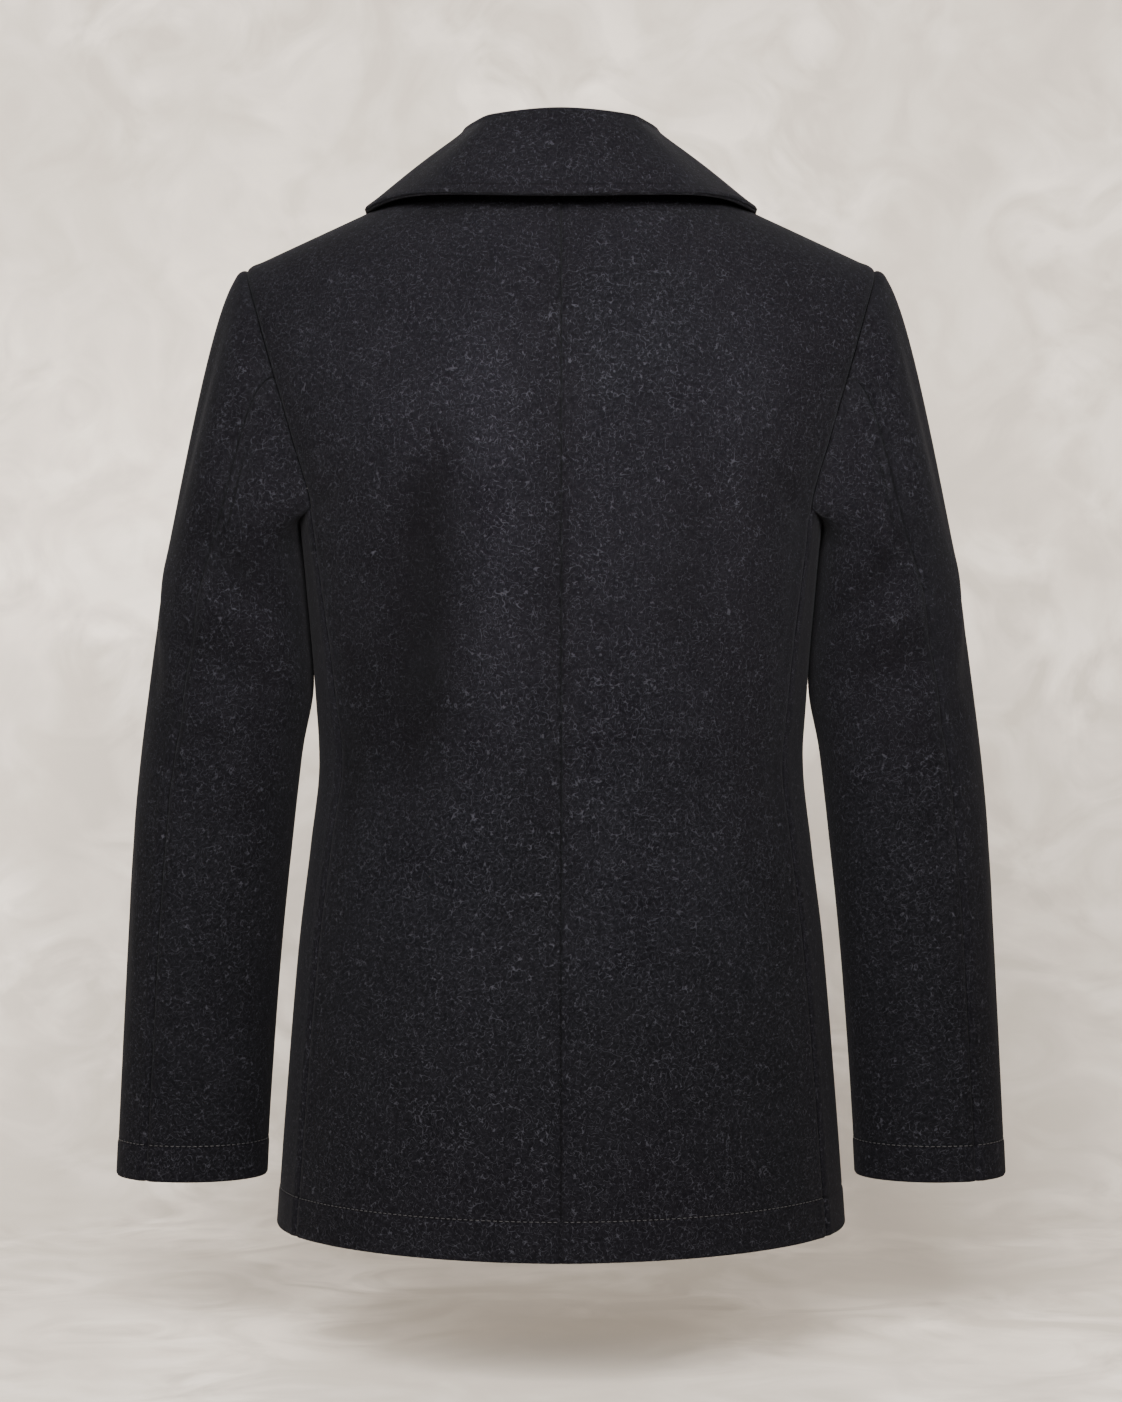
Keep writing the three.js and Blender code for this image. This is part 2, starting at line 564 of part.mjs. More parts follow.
function collarPiece(name, layer) {
  const cols = steps(34);
  const rows = [0, 0.1, 0.2, 0.27, 0.34, 0.4, 0.46, 0.53, 0.6, 0.7, 0.8, 0.9, 1];
  const surface = (s, t) => collarPoint(2 * s - 1, t);
  const centre = (layer * LAYER_STEP) / 2;
  const faces = () => [centre - WALL / 2, centre + WALL / 2];
  return clothPiece(name, -1, cols, rows, sampled(surface, -1), faces);
}

// A point of a front and its outward unit normal, with x counted towards the front's own side.
function onFront(x, z, side) {
  const spot = (px, pz) => {
    const place = frontDomain(px, pz);
    return torsoPoint(place.turn, place.level, side);
  };
  const point = spot(x, z);
  const normal = spot(x, z + 1).sub(point).cross(spot(x + 1, z).sub(point));
  return { point, normal: normal.multiplyScalar(-side).normalize() };
}

const LAPEL_ACROSS = [0, 0.06, 0.12, 0.18, 0.24, 0.4, 0.6, 0.8, 1];
const LAPEL_TURNED = 0.24;

// A place of the turned-back lapel: round the roll, then back over the front to its outer edge.
function lapelPoint(along, across, side) {
  const roll = rollPlace(along);
  const belly = LAPEL_BELLY * Math.sin(along * 180 * DEG);
  const edge = {
    x: lerp(-LAP, LAPEL_TIP.x, along) + belly * 0.6,
    z: lerp(BREAK_Z, LAPEL_TIP.z, along) - belly * 0.8,
  };
  const width = Math.hypot(edge.x - roll.x, edge.z - roll.z);
  const turned = clamp(across / LAPEL_TURNED, 0, 1) * 180 * DEG;
  const flat = clamp((across - LAPEL_TURNED) / (1 - LAPEL_TURNED), 0, 1);
  const out = flat * width - ROLL_RADIUS * Math.sin(turned);
  const x = lerp(roll.x, edge.x, out / width);
  const z = lerp(roll.z, edge.z, out / width);
  const lift = ROLL_RADIUS * (1 - Math.cos(turned)) - flat * (2 * ROLL_RADIUS - LAYER_STEP - SEAT_GAP);
  const { point, normal } = onFront(x, z, side);
  return point.addScaledVector(normal, lift);
}

// Each lapel starts just above the break: the left at its foot, the right where the left hides it.
const LAPEL_FOOT = { left: 0.05, right: 0.54 };

function lapelPiece(side) {
  const foot = LAPEL_FOOT[sideName(side)];
  const shares = steps(ROLL_STEPS).filter((share) => share > foot && share < LAPEL_HEAD);
  const sample = sampled((s, t) => lapelPoint(t, s, side), -side);
  const rows = [foot, ...shares, LAPEL_HEAD];
  return clothPiece("lapel_" + sideName(side), -side, LAPEL_ACROSS, rows, sample);
}

function pocketWelt(side) {
  const surface = (s, t) => {
    const x = WELT.x + WELT.lean * (0.5 - t) + WELT.width * (s - 0.5);
    const { point, normal } = onFront(x, WELT.z + WELT.length * (t - 0.5), side);
    return point.addScaledVector(normal, WALL / 2 + SEAT_GAP + WELT.thick / 2);
  };
  const faces = () => [-WELT.thick / 2, WELT.thick / 2];
  const sample = sampled(surface, -side);
  return clothPiece("pocket_welt_" + sideName(side), -side, steps(2), steps(6), sample, faces);
}

// A plain four-hole button, thick in Z, that faces +Z.
function buttonGeometry() {
  const disc = new THREE.Shape().absarc(0, 0, BUTTON.radius - BUTTON.rim, 0, 2 * Math.PI);
  for (const [x, y] of [[1, 1], [-1, 1], [-1, -1], [1, -1]]) {
    const hole = new THREE.Path();
    hole.absarc((x * BUTTON.holeAt) / 2, (y * BUTTON.holeAt) / 2, BUTTON.hole, 0, 2 * Math.PI, true);
    disc.holes.push(hole);
  }
  return new THREE.ExtrudeGeometry(disc, {
    depth: BUTTON.thick - 2 * BUTTON.rim,
    bevelThickness: BUTTON.rim,
    bevelSize: BUTTON.rim,
    bevelSegments: 1,
    curveSegments: 4,
  });
}

function button(x, z, name) {
  const { point, normal } = onFront(x, z, 1);
  const mesh = new THREE.Mesh(buttonGeometry(), buttonResin());
  mesh.position.copy(point).addScaledVector(normal, WALL / 2 + SEAT_GAP + BUTTON.rim);
  mesh.quaternion.setFromUnitVectors(new THREE.Vector3(0, 0, 1), normal);
  mesh.name = name;
  return mesh;
}

const coat = new THREE.Group();
for (const side of [1, -1]) {
  coat.add(backPanel(side), frontPanel(side), ...sleevePieces(side));
  coat.add(lapelPiece(side), pocketWelt(side));
}
coat.add(collarPiece("collar_top", 1), collarPiece("collar_under", -1));
BUTTON_ROWS.forEach((z, row) => {
  BUTTON_COLUMNS.forEach((x) => {
    coat.add(button(x, z, "button_" + (x > 0 ? "left" : "right") + "_" + (row + 1)));
  });
});

export default coat;
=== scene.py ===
import math

import bpy
import numpy as np
from bpy.props import FloatProperty, FloatVectorProperty, IntProperty, PointerProperty
from bpy.types import Operator, Panel, PropertyGroup
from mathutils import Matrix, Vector


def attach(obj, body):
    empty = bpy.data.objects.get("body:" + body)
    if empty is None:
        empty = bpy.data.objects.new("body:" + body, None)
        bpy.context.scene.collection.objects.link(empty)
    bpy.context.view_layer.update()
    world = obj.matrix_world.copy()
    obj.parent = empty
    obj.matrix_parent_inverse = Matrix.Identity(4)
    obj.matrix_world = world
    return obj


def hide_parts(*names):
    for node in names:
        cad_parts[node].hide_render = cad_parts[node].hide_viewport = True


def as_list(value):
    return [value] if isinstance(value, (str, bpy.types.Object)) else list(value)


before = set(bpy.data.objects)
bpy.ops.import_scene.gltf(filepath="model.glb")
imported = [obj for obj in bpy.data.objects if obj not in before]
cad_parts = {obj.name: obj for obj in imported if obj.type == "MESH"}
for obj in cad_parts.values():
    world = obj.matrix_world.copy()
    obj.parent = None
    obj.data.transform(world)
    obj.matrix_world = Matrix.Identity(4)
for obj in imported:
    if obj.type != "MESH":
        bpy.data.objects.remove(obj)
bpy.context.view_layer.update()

bl_info = {
    "name": "Pea coat",
    "version": (1, 0, 0),
    "blender": (4, 5, 0),
    "location": "3D View > Sidebar > Pea coat",
    "description": "Builds a melton wool pea coat, filled out with nobody in it, on its solid frame",
    "category": "Object",
}

# All sizes are in millimetres until a mesh is made. The front faces -Y, the back +Y, and the
# wearer's left is +X. Turn is the angle from the centre back, and level is 0 at the hem, 1 at the
# chest and 2 on the shoulder line.
MM = 0.001
WALL = 2.4
LAYER_STEP = WALL + 0.3
LAP_STEP = WALL + 2.1
SEAT_GAP = 0.8
HEM_Z = -759
CUFF_Z = -727
HEM_BAND = 27
CUFF_BAND = 26
BAND_INNER = 2.2
BAND_FADE = 3
STITCH_IN = 7
CHEST_Z = -240
NECK_HALF_WIDTH = 82
RIDGE_NECK_Z = 37
SIDE_NECK_Z = 12
SHOULDER_DROP = 0.462
RIDGE_CURVE = 1.6
RIDGE_Y = -4
NECK_BACK_TURN = 30
BACK_LIFT_POWER = 3
FRONT_NECK_CURVE = 1.1
LAP = 95
BREAK_Z = -290
ROLL_TOP = (64, -6)
LAPEL_TIP = (141, -84)
ROLL_EASE = 1.3
LAPEL_BELLY = 9
LAPEL_HEAD = 0.99
LAPEL_FOOT = {1: 0.05, -1: 0.54}
LAPEL_TURNED = 0.24
ROLL_RADIUS = 3
LAP_TURNS = (124, 147)
LAP_HEIGHTS = (-30, -95)
UNDERARM_LEVEL = 1.01
SLEEVE_TOP_Z = -266
SLEEVE_BACK_SEAM = 77
SLEEVE_FRONT_SEAM = 240
COLLAR_FOLD_RADIUS = 4.5
COLLAR_LIFT = 1.5
BUTTON_COLUMNS = (-66, 66)
BUTTON_ROWS = (-325, -425, -525)
BUTTON_RADIUS = 15
BUTTON_THICK = 4
BUTTON_RIM = 0.7
BUTTON_HOLE = {"from_middle": 2.5, "radius": 1.1, "depth": 1.6}
BUTTONHOLE = {"x": -53, "half_length": 17, "half_width": 1.9, "bead": 0.95, "stitches": 60}
STRAND = 0.33
WELT = {"x": 128, "z": -500, "length": 155, "width": 30, "lean": 14, "thick": 2}

TORSO = {
    "z": [-759, -670, -550, -480, -420, -360, -300, -240, -185, -150, -100, -58, 0, 50],
    "half_width": [209, 202.6, 192.6, 184.2, 178.4, 181.5, 186.5, 193, 212, 225, 245, 262, 278, 290],
    "back": [176, 165, 151, 143, 139, 140, 144, 147.5, 149, 149.5, 151, 151, 142, 135],
    "front": [160, 156, 151, 147, 146, 149, 152, 152, 149, 145, 137, 130, 118, 110],
    "square": [1.88, 1.95, 2.05, 2.1, 2.15, 2.2, 2.25, 2.3, 2.3, 2.3, 2.3, 2.3, 2.3, 2.3],
}
SIDE_SEAM = {"level": [0, 0.35, 0.65, 1.01], "turn": [66.5, 65, 63.5, 68]}
ARMHOLE = {
    "label": [0, 35, 77, 110, 140, 160, 180, 200, 220, 245, 280, 325, 360],
    "turn": [60.4, 61.4, 63.5, 65, 68, 77, 88, 98, 106, 113, 119, 121, 119.6],
    "level": [2, 1.647, 1.367, 1.17, 1.01, 1, 1.008, 1.035, 1.08, 1.18, 1.36, 1.63, 2],
}
SLEEVE = {
    "z": [-266, -300, -360, -420, -480, -550, -620, -690, -727],
    "outer": [289.5, 296, 303, 310.5, 316.5, 321, 325, 329, 331],
    "inner": [190.3, 186.6, 182.6, 192, 199, 206.5, 212.5, 217.5, 219.5],
    "half_depth": [73, 72, 69, 65, 61, 57, 53, 50, 49],
    "middle_y": [-1, -1, -2, -4, -7, -12, -18, -23, -25],
    "seam": [76, 69, 62, 61, 60, 59, 58.5, 58, 58],
}
CAP = {
    "label": [0, 50, 90, 140, 180, 220, 270, 310, 360],
    "reach": [15, 17, 22, 8, 4, 3, 18, 17, 15],
    "drop": [150, 92, 46, 18, 13, 18, 46, 92, 150],
    "back": [0, 0.15, 0.16, 0.05, 0, -0.05, -0.16, -0.15, 0],
    "down": [-0.08, 0.05, 0.2, 0.1, 0.05, 0.1, 0.2, 0.05, -0.08],
}
COLLAR = {
    "along": [-0.25, 0, 0.25, 0.34, 0.42, 0.52, 0.65, 0.82, 1],
    "fold": [(-50, 57, 45), (0, 78, 46), (50, 57, 45), (61, 37, 44), (69, 14, 42.5),
             (70, -6, 39), (69, -22, 31), (66, -40, 17), (63.5, -54, 1.5)],
    "middle": [(-70, 72, 15), (0, 99, 14), (70, 72, 15), (88, 47, 16), (102, 20, 16),
               (104, -8, 13), (104, -31, 5), (104, -55, -14), (106, -76, -45)],
    "edge": [(-92, 84, -14), (0, 113, -19.5), (92, 84, -14), (120, 52, -12), (138, 26, -14.5),
             (144.5, -8, -12.6), (143, -38, -21), (140, -63, -43.5), (138, -79, -61)],
}
# Places of the armhole that the panels' even rows lead to, from the underarm up.
BACK_ROWS = [140, 119, 98, 77, 50, 22, 0]
FRONT_ROWS = [140, 160, 180, 200, 220, 240, 262, 285, 310, 336, 360]

# Folds of the cloth: from one end to the other, with the half width and depth of the trough. A
# negative depth is a ridge. On the torso they are placed across the wearer's left to right.
BACK_FOLDS = {
    "a0": [90, -93, 120],
    "z0": [-215, -235, -190],
    "a1": [104, -92, 60],
    "z1": [-420, -335, -150],
    "half_width": [26, 22, 30],
    "depth": [5, 2.5, -2],
}
BACK_CREASES = {
    "a0": [92, 52, 142, 30, -60, -118, 150, -150, 10, -20, 160, -168, 60, -40],
    "z0": [-215, -150, -310, -60, -70, -180, -205, -215, -300, -420, -395, -400, -430, -560],
    "a1": [102, 42, 150, 70, -95, -125, 172, -176, 30, -35, 150, -150, 75, -52],
    "z1": [-420, -360, -450, -75, -100, -300, -235, -250, -520, -560, -440, -450, -640, -720],
    "half_width": [15, 20, 20, 12, 14, 16, 9, 9, 26, 24, 12, 12, 26, 24],
    "depth": [3.2, -3.4, 2.8, 1, 0.9, -1.6, 1.8, 1.7, 1, -1, 1.4, 1.3, -1.3, 1],
}
FRONT_CREASES = {
    "a0": [150, -150, 120, -122, 150, -158, 40, -30],
    "z0": [-210, -215, -160, -165, -400, -405, -600, -580],
    "a1": [176, -178, 95, -98, 140, -146, 52, -38],
    "z1": [-245, -255, -300, -290, -450, -455, -730, -720],
    "half_width": [10, 10, 22, 22, 13, 13, 28, 26],
    "depth": [1.6, 1.5, 1.4, 1.3, 1.1, 1.2, 1, -0.9],
}
SLEEVE_FOLDS = {
    "a0": [60, 70, 200, 10],
    "z0": [-240, -330, -395, -300],
    "a1": [120, 130, 280, 40],
    "z1": [-285, -352, -360, -370],
    "half_width": [15, 17, 18, 16],
    "depth": [4, 4, 4, 2.5],
}
SLEEVE_CREASES = {
    "a0": [95, 80, 60, 20, 340, 150, 50, 15, 110, 330, 300],
    "z0": [-270, -300, -385, -270, -290, -440, -430, -480, -520, -420, -560],
    "a1": [150, 140, 115, 35, 350, 100, 85, 25, 140, 345, 320],
    "z1": [-318, -325, -410, -330, -370, -470, -445, -600, -600, -520, -640],
    "half_width": [9, 8, 10, 11, 14, 12, 10, 15, 14, 15, 14],
    "depth": [2.2, -1.6, 1.8, -1.4, 1.3, 1.6, -1.2, 1, 1, -1, 0.9],
}

# The studio, in metres: the lights' places, what they point at, their sizes, watts, colours and
# spreads, the plaster sweep, and the camera.
LIGHTS = {
    "name": ["key", "accent", "left_side", "right_side", "top"],
    "place": [(0.22, 2.4, 0.55), (-0.45, 2.0, 0.3), (2.1, 0.2, 0.0), (-2.1, 0.2, 0.0), (0.5, 0.4, 2.2)],
    "target": [(0, 0, -0.35), (-0.05, 0.1, -0.12), (0, 0, -0.4), (0, 0, -0.4), (0, -0.2, -0.8)],
    "size": [1.2, 0.5, 1.2, 1.2, 1.8],
    "power": [245, 3.2, 2.5, 6.5, 20],
    "colour": ["#fff8f0", "#fff8f0", "#fafaff", "#fffaf4", "#ffffff"],
    "spread": [180, 24, 180, 180, 180],
}
AIR = {"colour": "#eee8e0", "strength": 0.245}
SWEEP = {"floor_z": -0.865, "wall_y": -1.25, "bend": 0.7, "near_y": 5, "top_z": 4.5, "half_width": 6}
CAMERA = {"lens": 80, "place": (0, 2.3, -0.375)}


def column(table, along, name):
    """A smooth curve through one column that never overshoots its rows: cubic pieces, whose slope
    at a row is the harmonic mean of the slopes to its two sides, and level where those turn."""
    x = np.array(table[along], float)
    y = np.array(table[name], float).reshape(len(x), -1)
    if x[0] > x[-1]:
        x, y = x[::-1], y[::-1]
    slope = np.diff(y, axis=0) / np.diff(x)[:, None]
    product = slope[:-1] * slope[1:]
    total = np.where(product > 0, slope[:-1] + slope[1:], 1)
    inner = np.where(product > 0, 2 * product / total, 0)
    tangent = np.concatenate([slope[:1], inner, slope[-1:]])

    def at(value):
        place = np.clip(np.asarray(value, float), x[0], x[-1])
        i = np.clip(np.searchsorted(x, place) - 1, 0, len(x) - 2)
        width = (x[i + 1] - x[i])[..., None]
        u = (place - x[i])[..., None] / width
        v = 1 - u
        ends = y[i] * v * v * (1 + 2 * u) + y[i + 1] * u * u * (3 - 2 * u)
        curve = ends + width * u * v * (tangent[i] * v - tangent[i + 1] * u)
        return curve[..., 0] if curve.shape[-1] == 1 else curve

    return at


def columns(table, along):
    return {name: column(table, along, name) for name in table if name != along}


torso = columns(TORSO, "z")
side_seam = column(SIDE_SEAM, "level", "turn")
armhole = columns(ARMHOLE, "label")
sleeve = columns(SLEEVE, "z")
cap = columns(CAP, "label")
collar = columns(COLLAR, "along")


def lerp(a, b, share):
    return a + (b - a) * share


def smooth(value, start, end):
    """0 before start and 1 after end, with a level start and end between them."""
    share = np.clip((value - start) / (end - start), 0, 1)
    return share * share * (3 - 2 * share)


def unit(vectors):
    return vectors / np.maximum(np.linalg.norm(vectors, axis=-1, keepdims=True), 1e-12)


def stack(*parts):
    return np.stack(np.broadcast_arrays(*parts), axis=-1)


def bell(distance, width):
    return np.exp(-((distance / width) ** 2))


def fold_depth(table, across, z, scale=1.0):
    """Sum of long troughs: each is a bell across its line and fades past its two ends."""
    names = ("a0", "z0", "a1", "z1", "half_width", "depth")
    a0, z0, a1, z1, width, depth = (np.array(table[name], float) for name in names)
    run = stack((a1 - a0) * scale, z1 - z0)
    start = stack((across[..., None] - a0) * scale, z[..., None] - z0)
    length = np.linalg.norm(run, axis=-1)
    share = (start * run).sum(-1) / length**2
    aside = np.abs(start[..., 0] * run[..., 1] - start[..., 1] * run[..., 0]) / length
    ends = bell(np.maximum(0, np.abs(share - 0.5) - 0.3), 0.3)
    return (depth * ends * bell(aside, width)).sum(-1)


def ridge_height(x):
    """Height of the shoulder line: a curve down to the side of the neck, then a straight slope."""
    out = np.abs(x)
    inner = (RIDGE_NECK_Z - SIDE_NECK_Z) * np.minimum(1, out / NECK_HALF_WIDTH) ** RIDGE_CURVE
    return RIDGE_NECK_Z - inner - SHOULDER_DROP * np.maximum(0, out - NECK_HALF_WIDTH) - WALL / 2


def half_width(z):
    return torso["half_width"](z) - WALL / 2


def across_share(turn, z):
    return np.abs(np.sin(np.radians(turn))) ** (2 / torso["square"](z))


def ridge_at(turn):
    """Height at which a turn meets the shoulder line, found by stepping onto the line."""
    z = np.full(np.shape(turn), float(SIDE_NECK_Z))
    for _ in range(12):
        z = ridge_height(half_width(z) * across_share(turn, z))
    return z


def lap_share(turn):
    return smooth(turn, *LAP_TURNS)


def torso_point(turn, level, side, creased=True):
    """The torso's middle surface. Each level section is a squared ellipse, and above the chest it
    closes onto the shoulder line along a quarter of an ellipse. The left front stands out from it
    by half a lap step where the fronts lap, the right front sits in, and folds press into it."""
    turn, level = np.broadcast_arrays(np.asarray(turn, float), np.asarray(level, float))
    rise = np.radians(np.maximum(0, level - 1) * 90)
    z = np.where(level <= 1, lerp(HEM_Z, CHEST_Z, level), lerp(CHEST_Z, ridge_at(turn), np.sin(rise)))
    facing = np.cos(np.radians(turn))
    behind = facing > 0
    depth = np.where(behind, torso["back"](z), torso["front"](z)) - WALL / 2
    x = half_width(z) * across_share(turn, z) * np.where(turn > 180, -1, 1)
    full = np.sign(facing) * depth * np.abs(facing) ** (2 / torso["square"](z))
    y = lerp(RIDGE_Y, full, np.cos(rise))
    low = smooth(-z, -LAP_HEIGHTS[0], -LAP_HEIGHTS[1])
    lap = side * lap_share(np.minimum(turn, 180)) * low * LAP_STEP / 2
    pressed = fold_depth(BACK_FOLDS, side * x, z)
    if creased:
        fade = smooth(-z, 20, 60)
        pressed = pressed + fade * fold_depth(BACK_CREASES, side * x, z)
        lap = lap - fade * fold_depth(FRONT_CREASES, side * x, z)
    out = np.where(behind, -pressed, lap)
    away = unit(stack(x / half_width(z), full / depth))
    return stack(side * (x + away[..., 0] * out), y + away[..., 1] * out, z)


def torso_normal(turn, level, side):
    """Outward unit normal, from small steps to both sides of the place."""
    step = 0.01
    before, after = np.maximum(0, turn - step), turn + step
    under, over = np.maximum(0, level - step / 90), np.minimum(2, level + step / 90)
    across = torso_point(after, level, side) - torso_point(before, level, side)
    up = torso_point(turn, over, side) - torso_point(turn, under, side)
    return unit(side * np.cross(up, across))


def front_domain(x, z):
    """Turn and level of the front place that lies at x and z: the section's formula, solved back."""
    x, z = np.broadcast_arrays(np.asarray(x, float), np.asarray(z, float))
    share = np.clip(np.abs(x) / half_width(z), 0, 1)
    angle = np.degrees(np.arcsin(share ** (torso["square"](z) / 2)))
    turn = np.where(x >= 0, 180 - angle, 180 + angle)
    rise = np.clip((z - CHEST_Z) / (ridge_at(turn) - CHEST_Z), 0, 1)
    level = np.where(z <= CHEST_Z, (z - HEM_Z) / (CHEST_Z - HEM_Z), 1 + np.degrees(np.arcsin(rise)) / 90)
    return turn, level


def on_front(x, z, side, lift):
    """A point moved out from a front, with x counted towards the piece's own side, and its normal."""
    turn, level = front_domain(x, z)
    normal = torso_normal(turn, level, side)
    return torso_point(turn, level, side) + normal * np.asarray(lift, float)[..., None], normal


SIDE_NECK_TURN = float(front_domain(NECK_HALF_WIDTH, SIDE_NECK_Z - WALL / 2)[0])
BACK_NECK_TURN = 180 - SIDE_NECK_TURN
ROLL_TURN, ROLL_LEVEL = (float(value) for value in front_domain(*ROLL_TOP))


def back_top(turn):
    """Level of the back's top edge: an elliptic neck curve, and the shoulder line beyond it."""
    share = np.clip(turn / BACK_NECK_TURN, 0, 1)
    return 2 - (NECK_BACK_TURN / 90) * np.sqrt(1 - share * share)


def front_top(turn):
    """Level of the front's top edge: the shoulder line, then down the neck to the roll line."""
    share = np.clip((turn - SIDE_NECK_TURN) / (ROLL_TURN - SIDE_NECK_TURN), 0, 1)
    return lerp(2, ROLL_LEVEL, share**FRONT_NECK_CURVE)


def roll_place(share):
    """A place on the roll line, from the break point at the front edge to the neck."""
    return lerp(-LAP, ROLL_TOP[0], 1 - (1 - share) ** ROLL_EASE), lerp(BREAK_Z, ROLL_TOP[1], share)


def spaced(count, *fine):
    """Even places from 0 to 1, with finer ones added."""
    return np.unique(np.concatenate([np.linspace(0, 1, count + 1), *[np.atleast_1d(f) for f in fine]]))


EDGE_MM = np.array([0, 0.4, 0.9, 1.5, 2.2, 3.2, 4.5, 6, 8, 10.5])
HEM_MM = np.array([0, 0.4, 0.9, 1.5, 2.4, 4, 8, 14, 20, 24, 25.6, 26.6, 27.4, 28.2, 29, 30, 31.5, 34])
STITCH_MM = np.array([5, 5.6, 6.2, 6.8, 7.4, 8, 8.6, 9.2])


def back_grid():
    """The back from its border: side seam and armhole on one side, the centre seam on the other."""
    down = HEM_MM / (CHEST_Z - HEM_Z)
    low = spaced(150, down / UNDERARM_LEVEL) * UNDERARM_LEVEL
    high = spaced(64, 1 - EDGE_MM / 260)[1:]
    label = np.interp(high, np.linspace(0, 1, len(BACK_ROWS)), BACK_ROWS)
    side_turn = np.concatenate([side_seam(low), armhole["turn"](label)])
    side_level = np.concatenate([low, armhole["level"](label)])
    middle_level = np.concatenate([low, lerp(UNDERARM_LEVEL, float(back_top(0)), high)])
    lift = np.concatenate([0 * low, high**BACK_LIFT_POWER])
    s = spaced(64, EDGE_MM / 240, 1 - EDGE_MM / 240)
    turn = s * side_turn[:, None]
    level = lerp(middle_level[:, None], side_level[:, None], s)
    top_turn = s * side_turn[-1]
    level = level + lift[:, None] * (back_top(top_turn) - lerp(middle_level[-1], side_level[-1], s))
    return turn, level


def front_grid():
    """The front from its border: the front edge and the roll line on one side, and the side seam
    and the armhole on the other. Column 0 is the edge."""
    break_level = (BREAK_Z - HEM_Z) / (CHEST_Z - HEM_Z)
    down = HEM_MM / (CHEST_Z - HEM_Z)
    low = spaced(126, down / break_level) * break_level
    high = spaced(96, 1 - EDGE_MM / 330)[1:]
    ladder = np.linspace(0, 1, len(FRONT_ROWS) + 2)
    label = np.interp(high, ladder[2:], FRONT_ROWS, left=FRONT_ROWS[0])
    seam_level = np.interp(high, ladder[:3], [break_level, (break_level + UNDERARM_LEVEL) / 2, UNDERARM_LEVEL])
    on_seam = high <= ladder[2]
    side_turn = np.where(on_seam, side_seam(seam_level), armhole["turn"](label))
    side_level = np.where(on_seam, seam_level, armhole["level"](label))
    edge_turn, edge_level = front_domain(-LAP, lerp(HEM_Z, CHEST_Z, low))
    roll_turn, roll_level = front_domain(*roll_place(high))
    side_turn = np.concatenate([side_seam(low), side_turn])
    side_level = np.concatenate([low, side_level])
    edge_turn = np.concatenate([edge_turn, roll_turn])
    edge_level = np.concatenate([edge_level, roll_level])
    lift = np.concatenate([0 * low, np.maximum(0, 2 * high - 1)])
    s = spaced(78, EDGE_MM / 330, STITCH_MM / 330, 1 - EDGE_MM / 330)
    turn = lerp(edge_turn[:, None], side_turn[:, None], s)
    level = lerp(edge_level[:, None], side_level[:, None], s)
    top_turn = lerp(edge_turn[-1], side_turn[-1], s)
    level = level + lift[:, None] * (front_top(top_turn) - lerp(edge_level[-1], side_level[-1], s))
    return turn, level


def sleeve_section(label, z):
    """The sleeve below the biceps: an ellipse at each height, with the back seam at its own angle."""
    seam = sleeve["seam"](z)
    wrapped = np.where(label < SLEEVE_BACK_SEAM, label * seam / SLEEVE_BACK_SEAM,
                       180 - (180 - label) * (180 - seam) / (180 - SLEEVE_BACK_SEAM))
    angle = np.radians(np.where((label > 0) & (label < 180), wrapped, label))
    around = np.mod(label, 360) + 0 * z
    z = z + 0 * label
    below = smooth(-z, 230, 262) * smooth(z, CUFF_Z, CUFF_Z + 60)
    fold = fold_depth(SLEEVE_FOLDS, around, z, 1.1) + below * fold_depth(SLEEVE_CREASES, around, z, 1.1)
    wide = (sleeve["outer"](z) - sleeve["inner"](z) - WALL) / 2 - fold
    deep = sleeve["half_depth"](z) - WALL / 2 - fold
    middle = (sleeve["outer"](z) + sleeve["inner"](z)) / 2
    return stack(middle + wide * np.cos(angle), sleeve["middle_y"](z) + deep * np.sin(angle), z)


def cap_start(label):
    """Where a sleeve starts at the armhole, just past the panel's edge, and the way it sets off."""
    around = np.mod(label, 360)

    def seam(at):
        return torso_point(armhole["turn"](at), armhole["level"](at), 1)

    along = unit(seam(np.minimum(360, around + 1)) - seam(np.maximum(0, around - 1)))
    normal = torso_normal(armhole["turn"](around), armhole["level"](around), 1)
    beyond = unit(np.cross(along, normal))
    heading = unit(stack(1 + 0 * around, cap["back"](around), -cap["down"](around)))
    lean = np.sqrt(np.maximum(0, 1 - (beyond * heading).sum(-1) ** 2))
    return seam(around) + beyond * (lean * WALL / 2 - 0.8)[..., None], heading


def sleeve_point(label, place):
    """The sleeve's middle surface. Place 0 to 1 is the cap, a cubic Bezier curve from the armhole
    to the biceps, and 1 to 2 runs down the sections to the cuff."""
    label, place = np.broadcast_arrays(label, place)
    around = np.mod(label, 360)
    start, heading = cap_start(label)
    end = sleeve_section(label, np.full(label.shape, float(SLEEVE_TOP_Z)))
    down = unit(sleeve_section(label, np.full(label.shape, SLEEVE_TOP_Z - 12.0)) - end)
    first = start + heading * cap["reach"](around)[..., None]
    second = end - down * cap["drop"](around)[..., None]
    u = np.clip(place, 0, 1)[..., None]
    v = 1 - u
    upper = v**3 * start + 3 * v * v * u * first + 3 * v * u * u * second + u**3 * end
    lower = sleeve_section(label, lerp(SLEEVE_TOP_Z, CUFF_Z, np.clip(place, 1, 2) - 1))
    return np.where(place[..., None] < 1, upper, lower)


def neck_seam(along):
    """The neck seam from the centre back, at 0, past the shoulder line, to the roll line, at 1."""
    side_at = 0.45
    behind = BACK_NECK_TURN * np.sin(np.radians(np.minimum(along / side_at, 1) * 90))
    before = lerp(SIDE_NECK_TURN, ROLL_TURN, np.maximum(0, (along - side_at) / (1 - side_at)))
    turn = np.where(along <= side_at, behind, before)
    return torso_point(turn, np.where(along <= side_at, back_top(behind), front_top(before)), 1, creased=False)


